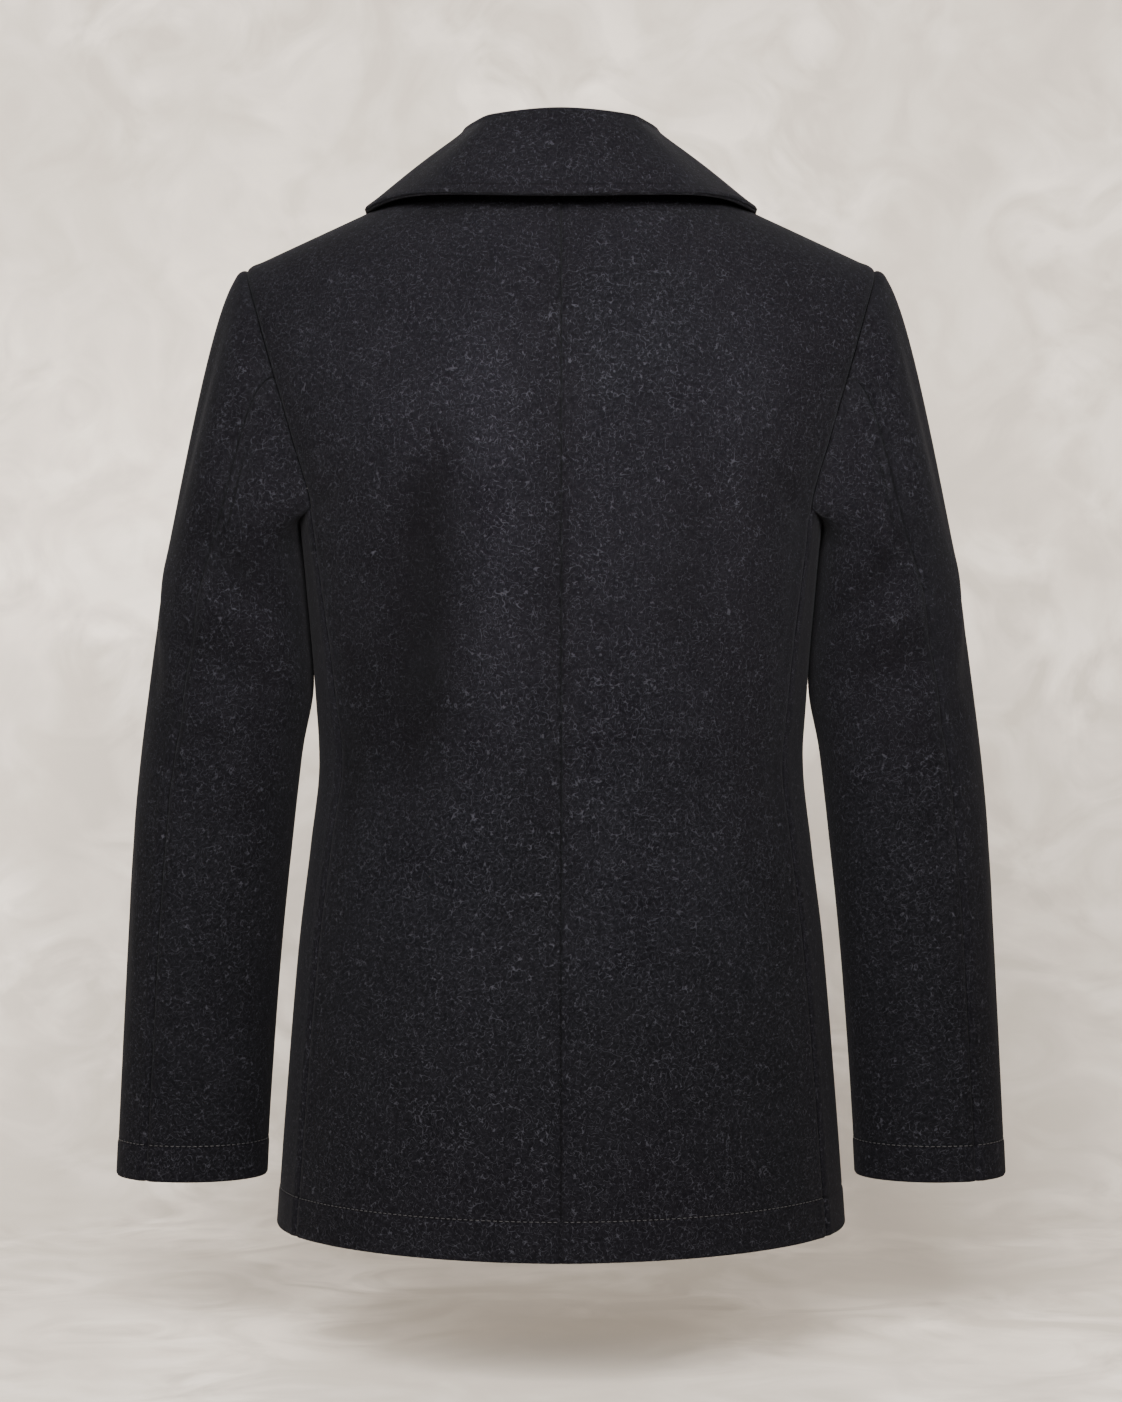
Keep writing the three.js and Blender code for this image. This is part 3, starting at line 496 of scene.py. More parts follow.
def curve_through(knots, place):
    """A centripetal Catmull-Rom curve: between two knots a cubic whose end slopes come from the
    knots around them, each gap weighed by the square root of its length."""
    padded = np.concatenate([2 * knots[:1] - knots[1:2], knots, 2 * knots[-1:] - knots[-2:-1]])
    spot = place * (len(knots) - 1)
    i = np.clip(np.floor(spot).astype(int), 0, len(knots) - 2)
    u = (spot - i)[..., None]
    shape = np.broadcast_shapes(i.shape, knots.shape[1:-1])
    grid = np.indices(shape)[-1]
    p0, p1, p2, p3 = (padded[np.broadcast_to(i, shape) + k, grid] for k in range(4))
    g0, g1, g2 = (np.linalg.norm(b - a, axis=-1, keepdims=True) ** 0.5 for a, b in ((p0, p1), (p1, p2), (p2, p3)))
    out = g1 * ((p1 - p0) / g0 - (p2 - p0) / (g0 + g1) + (p2 - p1) / g1)
    into = g1 * ((p2 - p1) / g1 - (p3 - p1) / (g1 + g2) + (p3 - p2) / g2)
    v = 1 - u
    return p1 * v * v * (1 + 2 * u) + p2 * u * u * (3 - 2 * u) + out * u * v * v - into * u * u * v


def collar_point(along, across):
    """The collar between its two layers, for a row of places along and a column across: up the
    stand, over the fold and down the fall."""
    half = np.abs(along)
    fold, middle, edge = (collar[name](half) for name in ("fold", "middle", "edge"))
    foot = neck_seam(half) + np.array([0, 0, WALL / 2 + COLLAR_LIFT])
    out = unit((middle - foot) * np.array([1, 1, 0]))
    dip = np.minimum(COLLAR_FOLD_RADIUS, 0.4 * (fold[..., 2] - foot[..., 2]))
    drop = stack(0 * dip, 0 * dip, dip)
    beside = out * COLLAR_FOLD_RADIUS
    knots = np.stack([foot, fold - beside - drop, fold, fold + beside - drop, middle, edge])
    points = curve_through(knots, across[:, None] + 0 * along[None, :])
    return points * stack(np.where(along < 0, -1, 1), 1 + 0 * along, 1 + 0 * along)


def lapel_point(along, across, side):
    """The turned-back lapel: half a circle round the roll line, then back over the front to the
    outer edge, which swells by a half wave."""
    along, across = np.broadcast_arrays(along, across)
    roll_x, roll_z = roll_place(along)
    belly = LAPEL_BELLY * np.sin(np.pi * along)
    edge_x = lerp(-LAP, LAPEL_TIP[0], along) + belly * 0.6
    edge_z = lerp(BREAK_Z, LAPEL_TIP[1], along) - belly * 0.8
    width = np.hypot(edge_x - roll_x, edge_z - roll_z)
    turned = np.clip(across / LAPEL_TURNED, 0, 1) * np.pi
    flat = np.clip((across - LAPEL_TURNED) / (1 - LAPEL_TURNED), 0, 1)
    share = (flat * width - ROLL_RADIUS * np.sin(turned)) / width
    lift = ROLL_RADIUS * (1 - np.cos(turned)) - flat * (2 * ROLL_RADIUS - LAYER_STEP - SEAT_GAP)
    return on_front(lerp(roll_x, edge_x, share), lerp(roll_z, edge_z, share), side, lift)[0]


def grid_normal(points, sense):
    """Unit normal from the grid's own rows and columns."""
    return unit(sense * np.cross(np.gradient(points, axis=0), np.gradient(points, axis=1)))


def border_distances(points):
    """Distance along the grid from its first and last column, and its first and last row."""
    across = np.pad(np.cumsum(np.linalg.norm(np.diff(points, axis=1), axis=2), 1), ((0, 0), (1, 0)))
    up = np.pad(np.cumsum(np.linalg.norm(np.diff(points, axis=0), axis=2), 0), ((1, 0), (0, 0)))
    return {"first": across, "last": across[:, -1:] - across, "foot": up, "head": up[-1:] - up}


def seam_profile(distance):
    """A furrow where two pieces meet, and the swell of the seam allowance pressed open beside it."""
    return 0.6 * bell(distance - 6.5, 4) - 0.75 * bell(distance, 2.4) - 0.85 * bell(distance, 0.9)


def painted_shade(*distances, pressed=0.0):
    """Painted shade, from 0 to 1, that darkens the wool's colour: flat cloth is at 0.3 and the bottom of a seam or
    stitch line at 1. A fold pressed in by some millimetres gets more painted shade, and a ridge gets less, which paints
    it lighter."""
    return np.maximum(np.clip(0.3 + pressed / 12, 0, 0.9), bell(np.minimum.reduce(distances), 0.9))


def edge_profile(distance):
    """The rounding of a finished edge."""
    return -0.4 * WALL * bell(distance, 1.1)


def stitched_profile(distance):
    """A finished edge that swells up to a row of stitches set into the cloth near it."""
    return edge_profile(distance) + 0.5 * bell(distance - 3.4, 2.2) - 0.75 * bell(distance - STITCH_IN, 1.1)


def band_share(height, band):
    """1 on a turned-up hem and 0 above it."""
    return 1 - smooth(height, band, band + BAND_FADE)


def band_profile(height, band):
    """A turned-up hem: proud below its stitched line, which sinks in, and level above."""
    return 0.5 * band_share(height, band) - 0.6 * bell(height - band - 1, 1.3)


def srgb(code):
    """Linear colour from an sRGB hex code."""
    parts = [int(code[i : i + 2], 16) / 255 for i in (1, 3, 5)]
    return [c / 12.92 if c <= 0.04045 else ((c + 0.055) / 1.055) ** 2.4 for c in parts] + [1.0]


def hexed(colour):
    """sRGB hex code of a colour property."""
    return "#" + "".join(f"{round(c * 255):02x}" for c in colour)


def add_node(tree, kind, settings=None, **sockets):
    """Adds a node, sets its own settings, and sets or links its named sockets. A socket's value is
    a number, a colour or the output that feeds it."""
    node = tree.nodes.new(kind)
    for name, value in (settings or {}).items():
        setattr(node, name, value)
    for name, value in sockets.items():
        socket = node.inputs[int(name[1:]) if name[1:].isdigit() else name.replace("_", " ")]
        if isinstance(value, bpy.types.NodeSocket):
            tree.links.new(value, socket)
        else:
            socket.default_value = value
    return node


def blank_material(name, tone):
    """A material with an empty tree, and the place on the piece, in metres, for its patterns."""
    material = bpy.data.materials.new(name)
    material.use_nodes = True
    tree = material.node_tree
    tree.nodes.clear()
    material.diffuse_color = srgb(tone)
    return material, tree, add_node(tree, "ShaderNodeTexCoord").outputs["Object"]


def noise(tree, place, scale, detail=2.0, distortion=0.0):
    """A cloudy field about 0.5, with some scale lumps a metre."""
    fields = {"Scale": scale, "Detail": detail, "Distortion": distortion}
    return add_node(tree, "ShaderNodeTexNoise", Vector=place, **fields).outputs[0]


def mixed(tree, share, low, high, blend="MIX"):
    """The colour low where share is 0 and high where it is 1."""
    settings = {"data_type": "RGBA", "blend_type": blend}
    return add_node(tree, "ShaderNodeMix", settings, Factor=share, i6=low, i7=high).outputs[2]


def finish_material(tree, colour, roughness, height, strength, distance):
    """Ends a tree in a surface with that colour, roughness and bump, and returns its shader."""
    raised = add_node(tree, "ShaderNodeBump", Strength=strength, Distance=distance, Height=height)
    shader = add_node(tree, "ShaderNodeBsdfPrincipled", Base_Color=colour, Roughness=roughness,
                      Normal=raised.outputs[0])
    add_node(tree, "ShaderNodeOutputMaterial", Surface=shader.outputs[0])
    return shader


def napped_melton(name, tone, fibre):
    """Melton, a heavy fulled wool twill, brushed and cropped: the nap hides the weave, scatters
    light with no gloss, and short curly fibres of a paler grey lie on it all ways."""
    material, tree, place = blank_material(name, tone)

    def field(scale, detail=2.0, distortion=0.0, shift=0.0):
        moved = add_node(tree, "ShaderNodeMapping", Vector=place, Location=(shift, shift * 0.7, -shift))
        return noise(tree, moved.outputs[0], scale, detail, distortion)

    def maths(operation, *values):
        inputs = {f"i{k}": value for k, value in enumerate(values)}
        return add_node(tree, "ShaderNodeMath", {"operation": operation}, **inputs).outputs[0]

    def ramped(value, low, high, out_low=0.0, out_high=1.0):
        inputs = {"i1": low, "i2": high, "i3": out_low, "i4": out_high}
        made = add_node(tree, "ShaderNodeMapRange", {"interpolation_type": "SMOOTHSTEP"}, Value=value, **inputs)
        return made.outputs[0]

    def fibres(scale, shift):
        """Curly lines where a noise field passes its middle value, cut to lengths by a second field."""
        line = ramped(maths("ABSOLUTE", maths("SUBTRACT", field(scale, 0.0, 0.3, shift), 0.5)), 0.0, 0.022, 1.0, 0.0)
        return maths("MULTIPLY", line, ramped(field(scale * 1.5, 0.0, 0.0, shift + 3), 0.44, 0.6))

    # Fibres are about 4 mm long and drawn 0.5 mm wide, which is coarser than wool, so that they show.
    loose = maths("MAXIMUM", maths("MAXIMUM", fibres(190, 1.0), fibres(240, 7.0)), fibres(300, 19.0))
    # Twill lines are 1.6 mm apart, twice the real spacing.
    cut = add_node(tree, "ShaderNodeUVMap", {"uv_map": "cut"}).outputs[0]
    leaned = add_node(tree, "ShaderNodeMapping", Vector=cut, Rotation=(0, 0, math.radians(28)))
    twill = add_node(tree, "ShaderNodeTexWave", {"bands_direction": "X"}, Vector=leaned.outputs[0], Scale=195.0)
    patches = ramped(field(14, 2.0, 0.4, 2.0), 0.3, 0.72)
    mottle = ramped(field(420, 1.0, 0.0, 5.0), 0.25, 0.75)
    depth = maths("ADD", maths("MULTIPLY", patches, 0.2), maths("MULTIPLY", mottle, 0.8))
    base = mixed(tree, depth, srgb("#07070a"), srgb(tone))
    woven = mixed(tree, 0.15, base, twill.outputs["Color"], "MULTIPLY")
    topped = mixed(tree, maths("MULTIPLY", loose, 0.17), woven, srgb(fibre))
    # Painted shade: the colour is mixed towards near black by the painted shade share, deepest at the bottom of seams
    # and stitch lines and in fold troughs, and least on ridges.
    painted_shade_share = add_node(tree, "ShaderNodeAttribute", {"attribute_name": "painted_shade"}).outputs["Fac"]
    with_painted_shade = mixed(tree, maths("MULTIPLY", painted_shade_share, 0.75), topped, srgb("#040405"))
    shader = finish_material(tree, with_painted_shade, 1.0, field(900, 2.0), 0.3, 0.0005)
    shader.inputs["Specular IOR Level"].default_value = 0.03
    shader.inputs["Sheen Weight"].default_value = 0.02
    shader.inputs["Sheen Roughness"].default_value = 0.5
    shader.inputs["Sheen Tint"].default_value = srgb("#a9adb8")
    return material


def polished_resin(name, tone):
    """Cast polyester button resin, tumbled to a dull polish: near black, with faint cloudy depth."""
    material, tree, place = blank_material(name, tone)
    tint = mixed(tree, noise(tree, place, 160.0, 4.0), srgb(tone), srgb("#23242b"))
    scuff = noise(tree, place, 900.0, 3.0)
    rough = add_node(tree, "ShaderNodeMapRange", Value=scuff, i3=0.28, i4=0.45)
    finish_material(tree, tint, rough.outputs[0], scuff, 0.08, 0.0003)
    return material


def twisted_thread(name, tone):
    """Spun polyester buttonhole twist: fine diagonal plies with a slight lustre."""
    material, tree, place = blank_material(name, tone)
    turned = add_node(tree, "ShaderNodeMapping", Vector=place, Rotation=(0.6, 0.3, 0.7))
    waves = add_node(tree, "ShaderNodeTexWave", Vector=turned.outputs[0], Scale=900.0, Distortion=0.5)
    plies = waves.outputs["Fac"]
    finish_material(tree, mixed(tree, plies, srgb("#0e0f13"), srgb(tone)), 0.6, plies, 0.5, 0.0002)
    return material


def matt_plaster(name, tone):
    """Gypsum plaster, trowelled by hand and left matt: a pale warm grey with soft uneven clouds,
    darker where the trowel pressed, and fine streaks."""
    material, tree, place = blank_material(name, tone)
    clouds = add_node(tree, "ShaderNodeMapRange", Value=noise(tree, place, 3.2, 6.0, 0.6), i1=0.36, i2=0.64)
    pressed = add_node(tree, "ShaderNodeMapRange", Value=noise(tree, place, 9.0, 8.0, 1.6), i1=0.36, i2=0.62)
    shade = mixed(tree, clouds.outputs[0], srgb("#cdc6bd"), srgb(tone))
    marked = mixed(tree, pressed.outputs[0], srgb("#cac3ba"), shade)
    finish_material(tree, marked, 0.95, noise(tree, place, 26.0, 8.0, 1.0), 0.25, 0.002)
    return material


def finish_named(name):
    """The coat's material of that name, made once from the colours in the panel."""
    made = bpy.data.materials.get(name)
    if made:
        return made
    look = bpy.context.scene.coat_look
    makers = {
        "napped_melton": lambda: napped_melton(name, hexed(look.wool), hexed(look.fibre)),
        "polished_resin": lambda: polished_resin(name, hexed(look.button)),
        "twisted_thread": lambda: twisted_thread(name, hexed(look.thread)),
        "matt_plaster": lambda: matt_plaster(name, hexed(look.backdrop)),
    }
    return makers[name]()


def new_object(name, vertices, faces, material, uv=None, painted_shade_share=None):
    """A smooth mesh object from arrays of points, in millimetres, and four-cornered faces."""
    mesh = bpy.data.meshes.new(name)
    mesh.vertices.add(len(vertices))
    mesh.vertices.foreach_set("co", (vertices * MM).astype(np.float32).ravel())
    mesh.loops.add(faces.size)
    mesh.loops.foreach_set("vertex_index", faces.astype(np.int32).ravel())
    mesh.polygons.add(len(faces))
    mesh.polygons.foreach_set("loop_start", np.arange(0, faces.size, faces.shape[1], dtype=np.int32))
    mesh.update(calc_edges=True)
    mesh.polygons.foreach_set("use_smooth", np.ones(len(faces), bool))
    if uv is not None:
        layer = mesh.uv_layers.new(name="cut")
        layer.data.foreach_set("uv", (uv[faces.ravel()] * MM).astype(np.float32).ravel())
    # Painted shade share for each point, which darkens the wool's colour.
    if painted_shade_share is not None:
        mesh.attributes.new("painted_shade", "FLOAT", "POINT").data.foreach_set("value", painted_shade_share.astype(np.float32))
    mesh.materials.append(finish_named(material))
    made = bpy.data.objects.new(name, mesh)
    bpy.context.scene.collection.objects.link(made)
    return made


def shell_faces(rows, cols):
    """Faces of a closed wall between two grids, the inner one first: both sheets and four rims."""
    index = np.arange(rows * cols).reshape(rows, cols)
    quads = stack(index[:-1, :-1], index[:-1, 1:], index[1:, 1:], index[1:, :-1]).reshape(-1, 4)
    outer = quads + rows * cols
    ring = np.concatenate([index[0, :-1], index[:-1, -1], index[-1, :0:-1], index[:0:-1, 0]])
    after = np.roll(ring, -1)
    rim = stack(ring, after, after + rows * cols, ring + rows * cols)
    return np.concatenate([quads[:, ::-1], outer, rim])


# Outer surface, normals and border distances of each piece sewn so far, for the stitches.
SURFACES = {}


def cloth(name, points, normals, far, outer, inner, kind, painted_shade_share, resting=()):
    """A closed shell of wool over a grid: two sheets offset along the normals by outer and inner, joined round the
    border. It stands for the solid of its name, which it hides, and a UV map named cut holds distances across and up
    the piece."""
    rows, cols = points.shape[:2]
    sheets = [points + normals * offset[..., None] for offset in (inner, outer)]
    vertices = np.concatenate([sheet.reshape(-1, 3) for sheet in sheets])
    faces = shell_faces(rows, cols)
    run_a, run_b = points[:-1, 1:] - points[:-1, :-1], points[1:, :-1] - points[:-1, :-1]
    if (np.cross(run_a, run_b) * normals[:-1, :-1]).sum() < 0:
        faces = faces[:, ::-1]
    uv = stack(far["first"], far["foot"]).reshape(-1, 2)
    # Both sheets carry the painted shade share.
    made = new_object("cloth_" + name, vertices, faces, "napped_melton", np.tile(uv, (2, 1)), np.tile(painted_shade_share.ravel(), 2))
    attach(made, "root")
    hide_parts(name)
    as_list(resting)
    SURFACES[name] = sheets[1], normals, far


def tube_faces(rows, around, count):
    """Faces of many closed tubes of the same size, each rows long with around points a ring."""
    index = np.arange(rows * around).reshape(rows, around)
    beside = np.roll(index, -1, axis=1)
    quads = stack(index[:-1], beside[:-1], beside[1:], index[1:]).reshape(-1, 4)
    starts = np.arange(count)[:, None, None] * rows * around
    return (quads[None] + starts).reshape(-1, 4)


def stitches(name, lines, pitch, length, radius, rises=0.25):
    """A row of stitches on each line of points with normals: every stitch is a short tube with
    closed ends, whose middle stands a little above the cloth."""
    ring = np.linspace(0, 2 * np.pi, 7)[:-1]
    along = np.array([-0.5, -0.42, -0.2, 0.2, 0.42, 0.5])
    swell = np.array([0.05, 0.7, 1, 1, 0.7, 0.05])
    vertices, count = [], 0
    for points, normals in lines:
        run = np.concatenate([[0], np.cumsum(np.linalg.norm(np.diff(points, axis=0), axis=1))])
        marks = np.arange(pitch, run[-1] - pitch / 2, pitch)

        def at(values, offset):
            places = marks[:, None] + offset
            return np.stack([np.interp(places, run, values[:, k]) for k in range(3)], axis=-1)

        centre = at(points, along * length)
        normal = unit(at(normals, along * length))
        tangent = unit(np.gradient(centre, axis=1))
        aside = np.cross(tangent, normal)
        size = (radius * swell)[:, None, None]
        circle = aside[:, :, None] * np.cos(ring)[:, None] + normal[:, :, None] * np.sin(ring)[:, None]
        lifted = centre + normal * (radius * (rises + 0.5 * swell - 0.5))[:, None]
        vertices.append((lifted[:, :, None] + circle * size).reshape(-1, 3))
        count += len(marks)
    made = new_object(name, np.concatenate(vertices), tube_faces(len(along), len(ring), count), "twisted_thread")
    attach(made, "root")
    return made


def line_at(surface, normals, distance, mark):
    """The line across a grid's rows where a distance passes a mark, with its normals."""
    past = np.argmax(distance >= mark, axis=0)
    cols = np.arange(distance.shape[1])
    before = np.maximum(past - 1, 0)
    gap = np.maximum(distance[past, cols] - distance[before, cols], 1e-9)
    share = ((mark - distance[before, cols]) / gap)[:, None]
    normal = unit(lerp(normals[before, cols], normals[past, cols], share))
    return lerp(surface[before, cols], surface[past, cols], share), normal


def side_name(side):
    return "left" if side > 0 else "right"


class CoatLook(PropertyGroup):
    """Colours and fine sizes of the coat that a user would change."""

    wool: FloatVectorProperty(name="Wool", description="Colour of the melton", subtype="COLOR_GAMMA",
                              size=3, min=0, max=1, default=(0.062, 0.062, 0.08))
    fibre: FloatVectorProperty(name="Fibres", description="Colour of the pale fibres on the nap", subtype="COLOR_GAMMA",
                               size=3, min=0, max=1, default=(0.35, 0.355, 0.4))
    button: FloatVectorProperty(name="Buttons", description="Colour of the resin buttons", subtype="COLOR_GAMMA",
                                size=3, min=0, max=1, default=(0.059, 0.063, 0.078))
    thread: FloatVectorProperty(name="Thread", description="Colour of the sewing thread", subtype="COLOR_GAMMA",
                                size=3, min=0, max=1, default=(0.085, 0.088, 0.105))
    backdrop: FloatVectorProperty(name="Backdrop", description="Colour of the plaster backdrop", subtype="COLOR_GAMMA",
                                  size=3, min=0, max=1, default=(0.955, 0.93, 0.9))
    stitch_pitch: FloatProperty(name="Stitch pitch", description="Distance from stitch to stitch, in metres",
                                unit="LENGTH", min=0.002, max=0.01, default=0.0042)
    stitch_radius: FloatProperty(name="Thread radius", description="Radius of the sewing thread, in metres",
                                 unit="LENGTH", min=0.0001, max=0.001, default=0.00036)
    button_segments: IntProperty(name="Button segments", description="Points round a button", min=24, max=96,
                                 default=56)
    light_power: FloatProperty(name="Light", description="Share of the studio lights' power", min=0.1, max=4, default=1)


class COAT_OT_backs(Operator):
    """Sew the two back pieces, which meet in the centre seam."""

    bl_idname = "coat.backs"
    bl_label = "Backs"

    def execute(self, context):
        for side in (1, -1):
            turn, level = back_grid()
            points, normals = torso_point(turn, level, side), torso_normal(turn, level, side)
            far = border_distances(points)
            shape = seam_profile(far["first"]) + seam_profile(far["last"]) + edge_profile(far["foot"])
            shape = shape + seam_profile(far["head"]) + band_profile(far["foot"], HEM_BAND)
            band = band_share(far["foot"], HEM_BAND)
            folds = sum(fold_depth(table, points[..., 0], points[..., 2]) for table in (BACK_FOLDS, BACK_CREASES))
            # Painted shade in the seams, the hem's stitch line and the fold troughs, and painted light on the ridges.
            painted_shade_share = painted_shade(far["first"], far["last"], far["head"], far["foot"] - HEM_BAND - 1, pressed=folds)
            name = "back_" + side_name(side)
            cloth(name, points, normals, far, WALL / 2 + shape, -WALL / 2 - BAND_INNER * band, "back", painted_shade_share)
        return {"FINISHED"}


class COAT_OT_fronts(Operator):
    """Sew the two fronts, the left lapped over the right, each with its cut edge and roll line."""

    bl_idname = "coat.fronts"
    bl_label = "Fronts"

    def execute(self, context):
        for side in (1, -1):
            turn, level = front_grid()
            points, normals = torso_point(turn, level, side), torso_normal(turn, level, side)
            far = border_distances(points)
            under_roll = smooth(points[..., 2], BREAK_Z - 10, BREAK_Z + 15)
            edge = lerp(stitched_profile(far["first"]), edge_profile(far["first"]), under_roll)
            shape = edge + seam_profile(far["last"]) + edge_profile(far["foot"]) + seam_profile(far["head"])
            shape = shape + band_profile(far["foot"], HEM_BAND) * (1 - 0.8 * lap_share(turn))
            band = band_share(far["foot"], HEM_BAND) * (1 - lap_share(turn))
            # Painted shade in the side and armhole seams and the hem's stitch line.
            painted_shade_share = painted_shade(far["last"], far["head"], far["foot"] - HEM_BAND - 1)
            name = "front_" + side_name(side)
            cloth(name, points, normals, far, WALL / 2 + shape, -WALL / 2 - BAND_INNER * band, "front", painted_shade_share)
        return {"FINISHED"}


class COAT_OT_sleeves(Operator):
    """Sew the four sleeve pieces: a top and an under sleeve for each arm."""

    bl_idname = "coat.sleeves"
    bl_label = "Sleeves"

    def execute(self, context):
        spans = {
            "sleeve_top": (SLEEVE_FRONT_SEAM - 360, SLEEVE_BACK_SEAM),
            "sleeve_under": (SLEEVE_BACK_SEAM, SLEEVE_FRONT_SEAM),
        }
        length = SLEEVE_TOP_Z - CUFF_Z
        evenly = np.linspace(0, 1, 50), np.linspace(1, 2, 118)
        places = np.unique(np.concatenate([EDGE_MM / 160, *evenly, 2 - HEM_MM / length]))
        for side in (1, -1):
            for kind, (first, last) in spans.items():
                labels = lerp(first, last, spaced(66, EDGE_MM / 170, 1 - EDGE_MM / 170))
                points = sleeve_point(labels[None, :], places[::-1][:, None]) * np.array([side, 1, 1])
                normals = grid_normal(points, -side)
                far = border_distances(points)
                shape = seam_profile(far["first"]) + seam_profile(far["last"]) + seam_profile(far["head"])
                shape = shape + edge_profile(far["foot"]) + band_profile(far["foot"], CUFF_BAND)
                band = band_share(far["foot"], CUFF_BAND)
                around = np.mod(labels, 360) + 0 * points[..., 2]
                folds = sum(fold_depth(table, around, points[..., 2], 1.1) for table in (SLEEVE_FOLDS, SLEEVE_CREASES))
                # Painted shade in the seams, the cuff's stitch line and the fold troughs, and painted light on the
                # ridges.
                painted_shade_share = painted_shade(far["first"], far["last"], far["head"], far["foot"] - CUFF_BAND - 1, pressed=folds)
                name = kind + "_" + side_name(side)
                cloth(name, points, normals, far, WALL / 2 + shape, -WALL / 2 - BAND_INNER * band, kind, painted_shade_share)
        return {"FINISHED"}


class COAT_OT_collar(Operator):
    """Sew the collar: a top collar over an under collar, stitched together near the edge."""

    bl_idname = "coat.collar"
    bl_label = "Collar"

    def execute(self, context):
        near_end = 1 - np.concatenate([EDGE_MM, STITCH_MM]) / 250
        along = np.unique(np.concatenate([np.linspace(-1, 1, 181), near_end, -near_end]))
        across = spaced(84, EDGE_MM / 190, 1 - EDGE_MM / 190, 1 - STITCH_MM / 190)
        points = collar_point(along, across)
        normals = grid_normal(points, 1)
        far = border_distances(points)
        nearest = np.minimum.reduce([far["first"], far["last"], far["head"]])
        ends = stitched_profile(nearest)
        # Painted shade along the stitch line near the edge.
        painted_shade_share = painted_shade(nearest - STITCH_IN)
        top = LAYER_STEP / 2 + WALL / 2 + ends, LAYER_STEP / 2 - WALL / 2 + 0 * ends
        under = WALL / 2 - LAYER_STEP / 2 + 0 * ends, -WALL / 2 - LAYER_STEP / 2 - edge_profile(far["head"])
        # The under collar lies hidden but for its edge, so it has every second column alone.
        for name, sheets, step in (("collar_top", top, 1), ("collar_under", under, 2)):
            centre, out, *layers, dark = (grid[:, ::step] for grid in (points, normals, *sheets, painted_shade_share))
            cloth(name, centre, out, {key: value[:, ::step] for key, value in far.items()}, *layers, name, dark)
        return {"FINISHED"}


class COAT_OT_lapels(Operator):
    """Sew the two lapels, turned back from the roll line and stitched near the edge."""

    bl_idname = "coat.lapels"
    bl_label = "Lapels"

    def execute(self, context):
        for side in (1, -1):
            along = lerp(LAPEL_FOOT[side], LAPEL_HEAD, spaced(110, 1 - EDGE_MM / 300, 1 - STITCH_MM / 300))
            across = spaced(60, EDGE_MM / 150, 1 - EDGE_MM / 130, 1 - STITCH_MM / 130)
            points = lapel_point(along[:, None], across[None, :], side)
            normals = grid_normal(points, -side)
            far = border_distances(points)
            nearest = np.minimum(far["last"], far["head"])
            shape = stitched_profile(nearest) + edge_profile(far["foot"])
            name = "lapel_" + side_name(side)
            # Painted shade along the stitch line near the edge.
            painted_shade_share = painted_shade(nearest - STITCH_IN)
            cloth(name, points, normals, far, WALL / 2 + shape, -WALL / 2 + 0 * shape, name, painted_shade_share)
        return {"FINISHED"}


class COAT_OT_pocket_welts(Operator):
    """Sew the two slanted pocket welts onto the fronts."""

    bl_idname = "coat.pocket_welts"
    bl_label = "Pocket welts"

    def execute(self, context):
        for side in (1, -1):
            t = spaced(60, EDGE_MM / WELT["length"], 1 - EDGE_MM / WELT["length"])[:, None]
            narrow = EDGE_MM[:7] / WELT["width"]
            s = spaced(20, narrow, 1 - narrow, STITCH_MM[:5] / WELT["width"])[None, :]
            x = WELT["x"] + WELT["lean"] * (0.5 - t) + WELT["width"] * (s - 0.5)
            z = WELT["z"] + WELT["length"] * (t - 0.5) + 0 * s
            lift = WALL / 2 + SEAT_GAP + WELT["thick"] / 2
            points, normals = on_front(x, z, side, np.full(x.shape, lift))
            far = border_distances(points)
            nearest = np.minimum.reduce(list(far.values()))
            shape = stitched_profile(nearest) * 0.6
            name = "pocket_welt_" + side_name(side)
            half = WELT["thick"] / 2
            under = ["cloth_front_" + side_name(side)]
            # Painted shade along the stitch line near the edge.
            painted_shade_share = painted_shade(nearest - STITCH_IN)
            cloth(name, points, normals, far, half + shape, -half + 0 * shape, "pocket_welt", painted_shade_share, under)
        return {"FINISHED"}


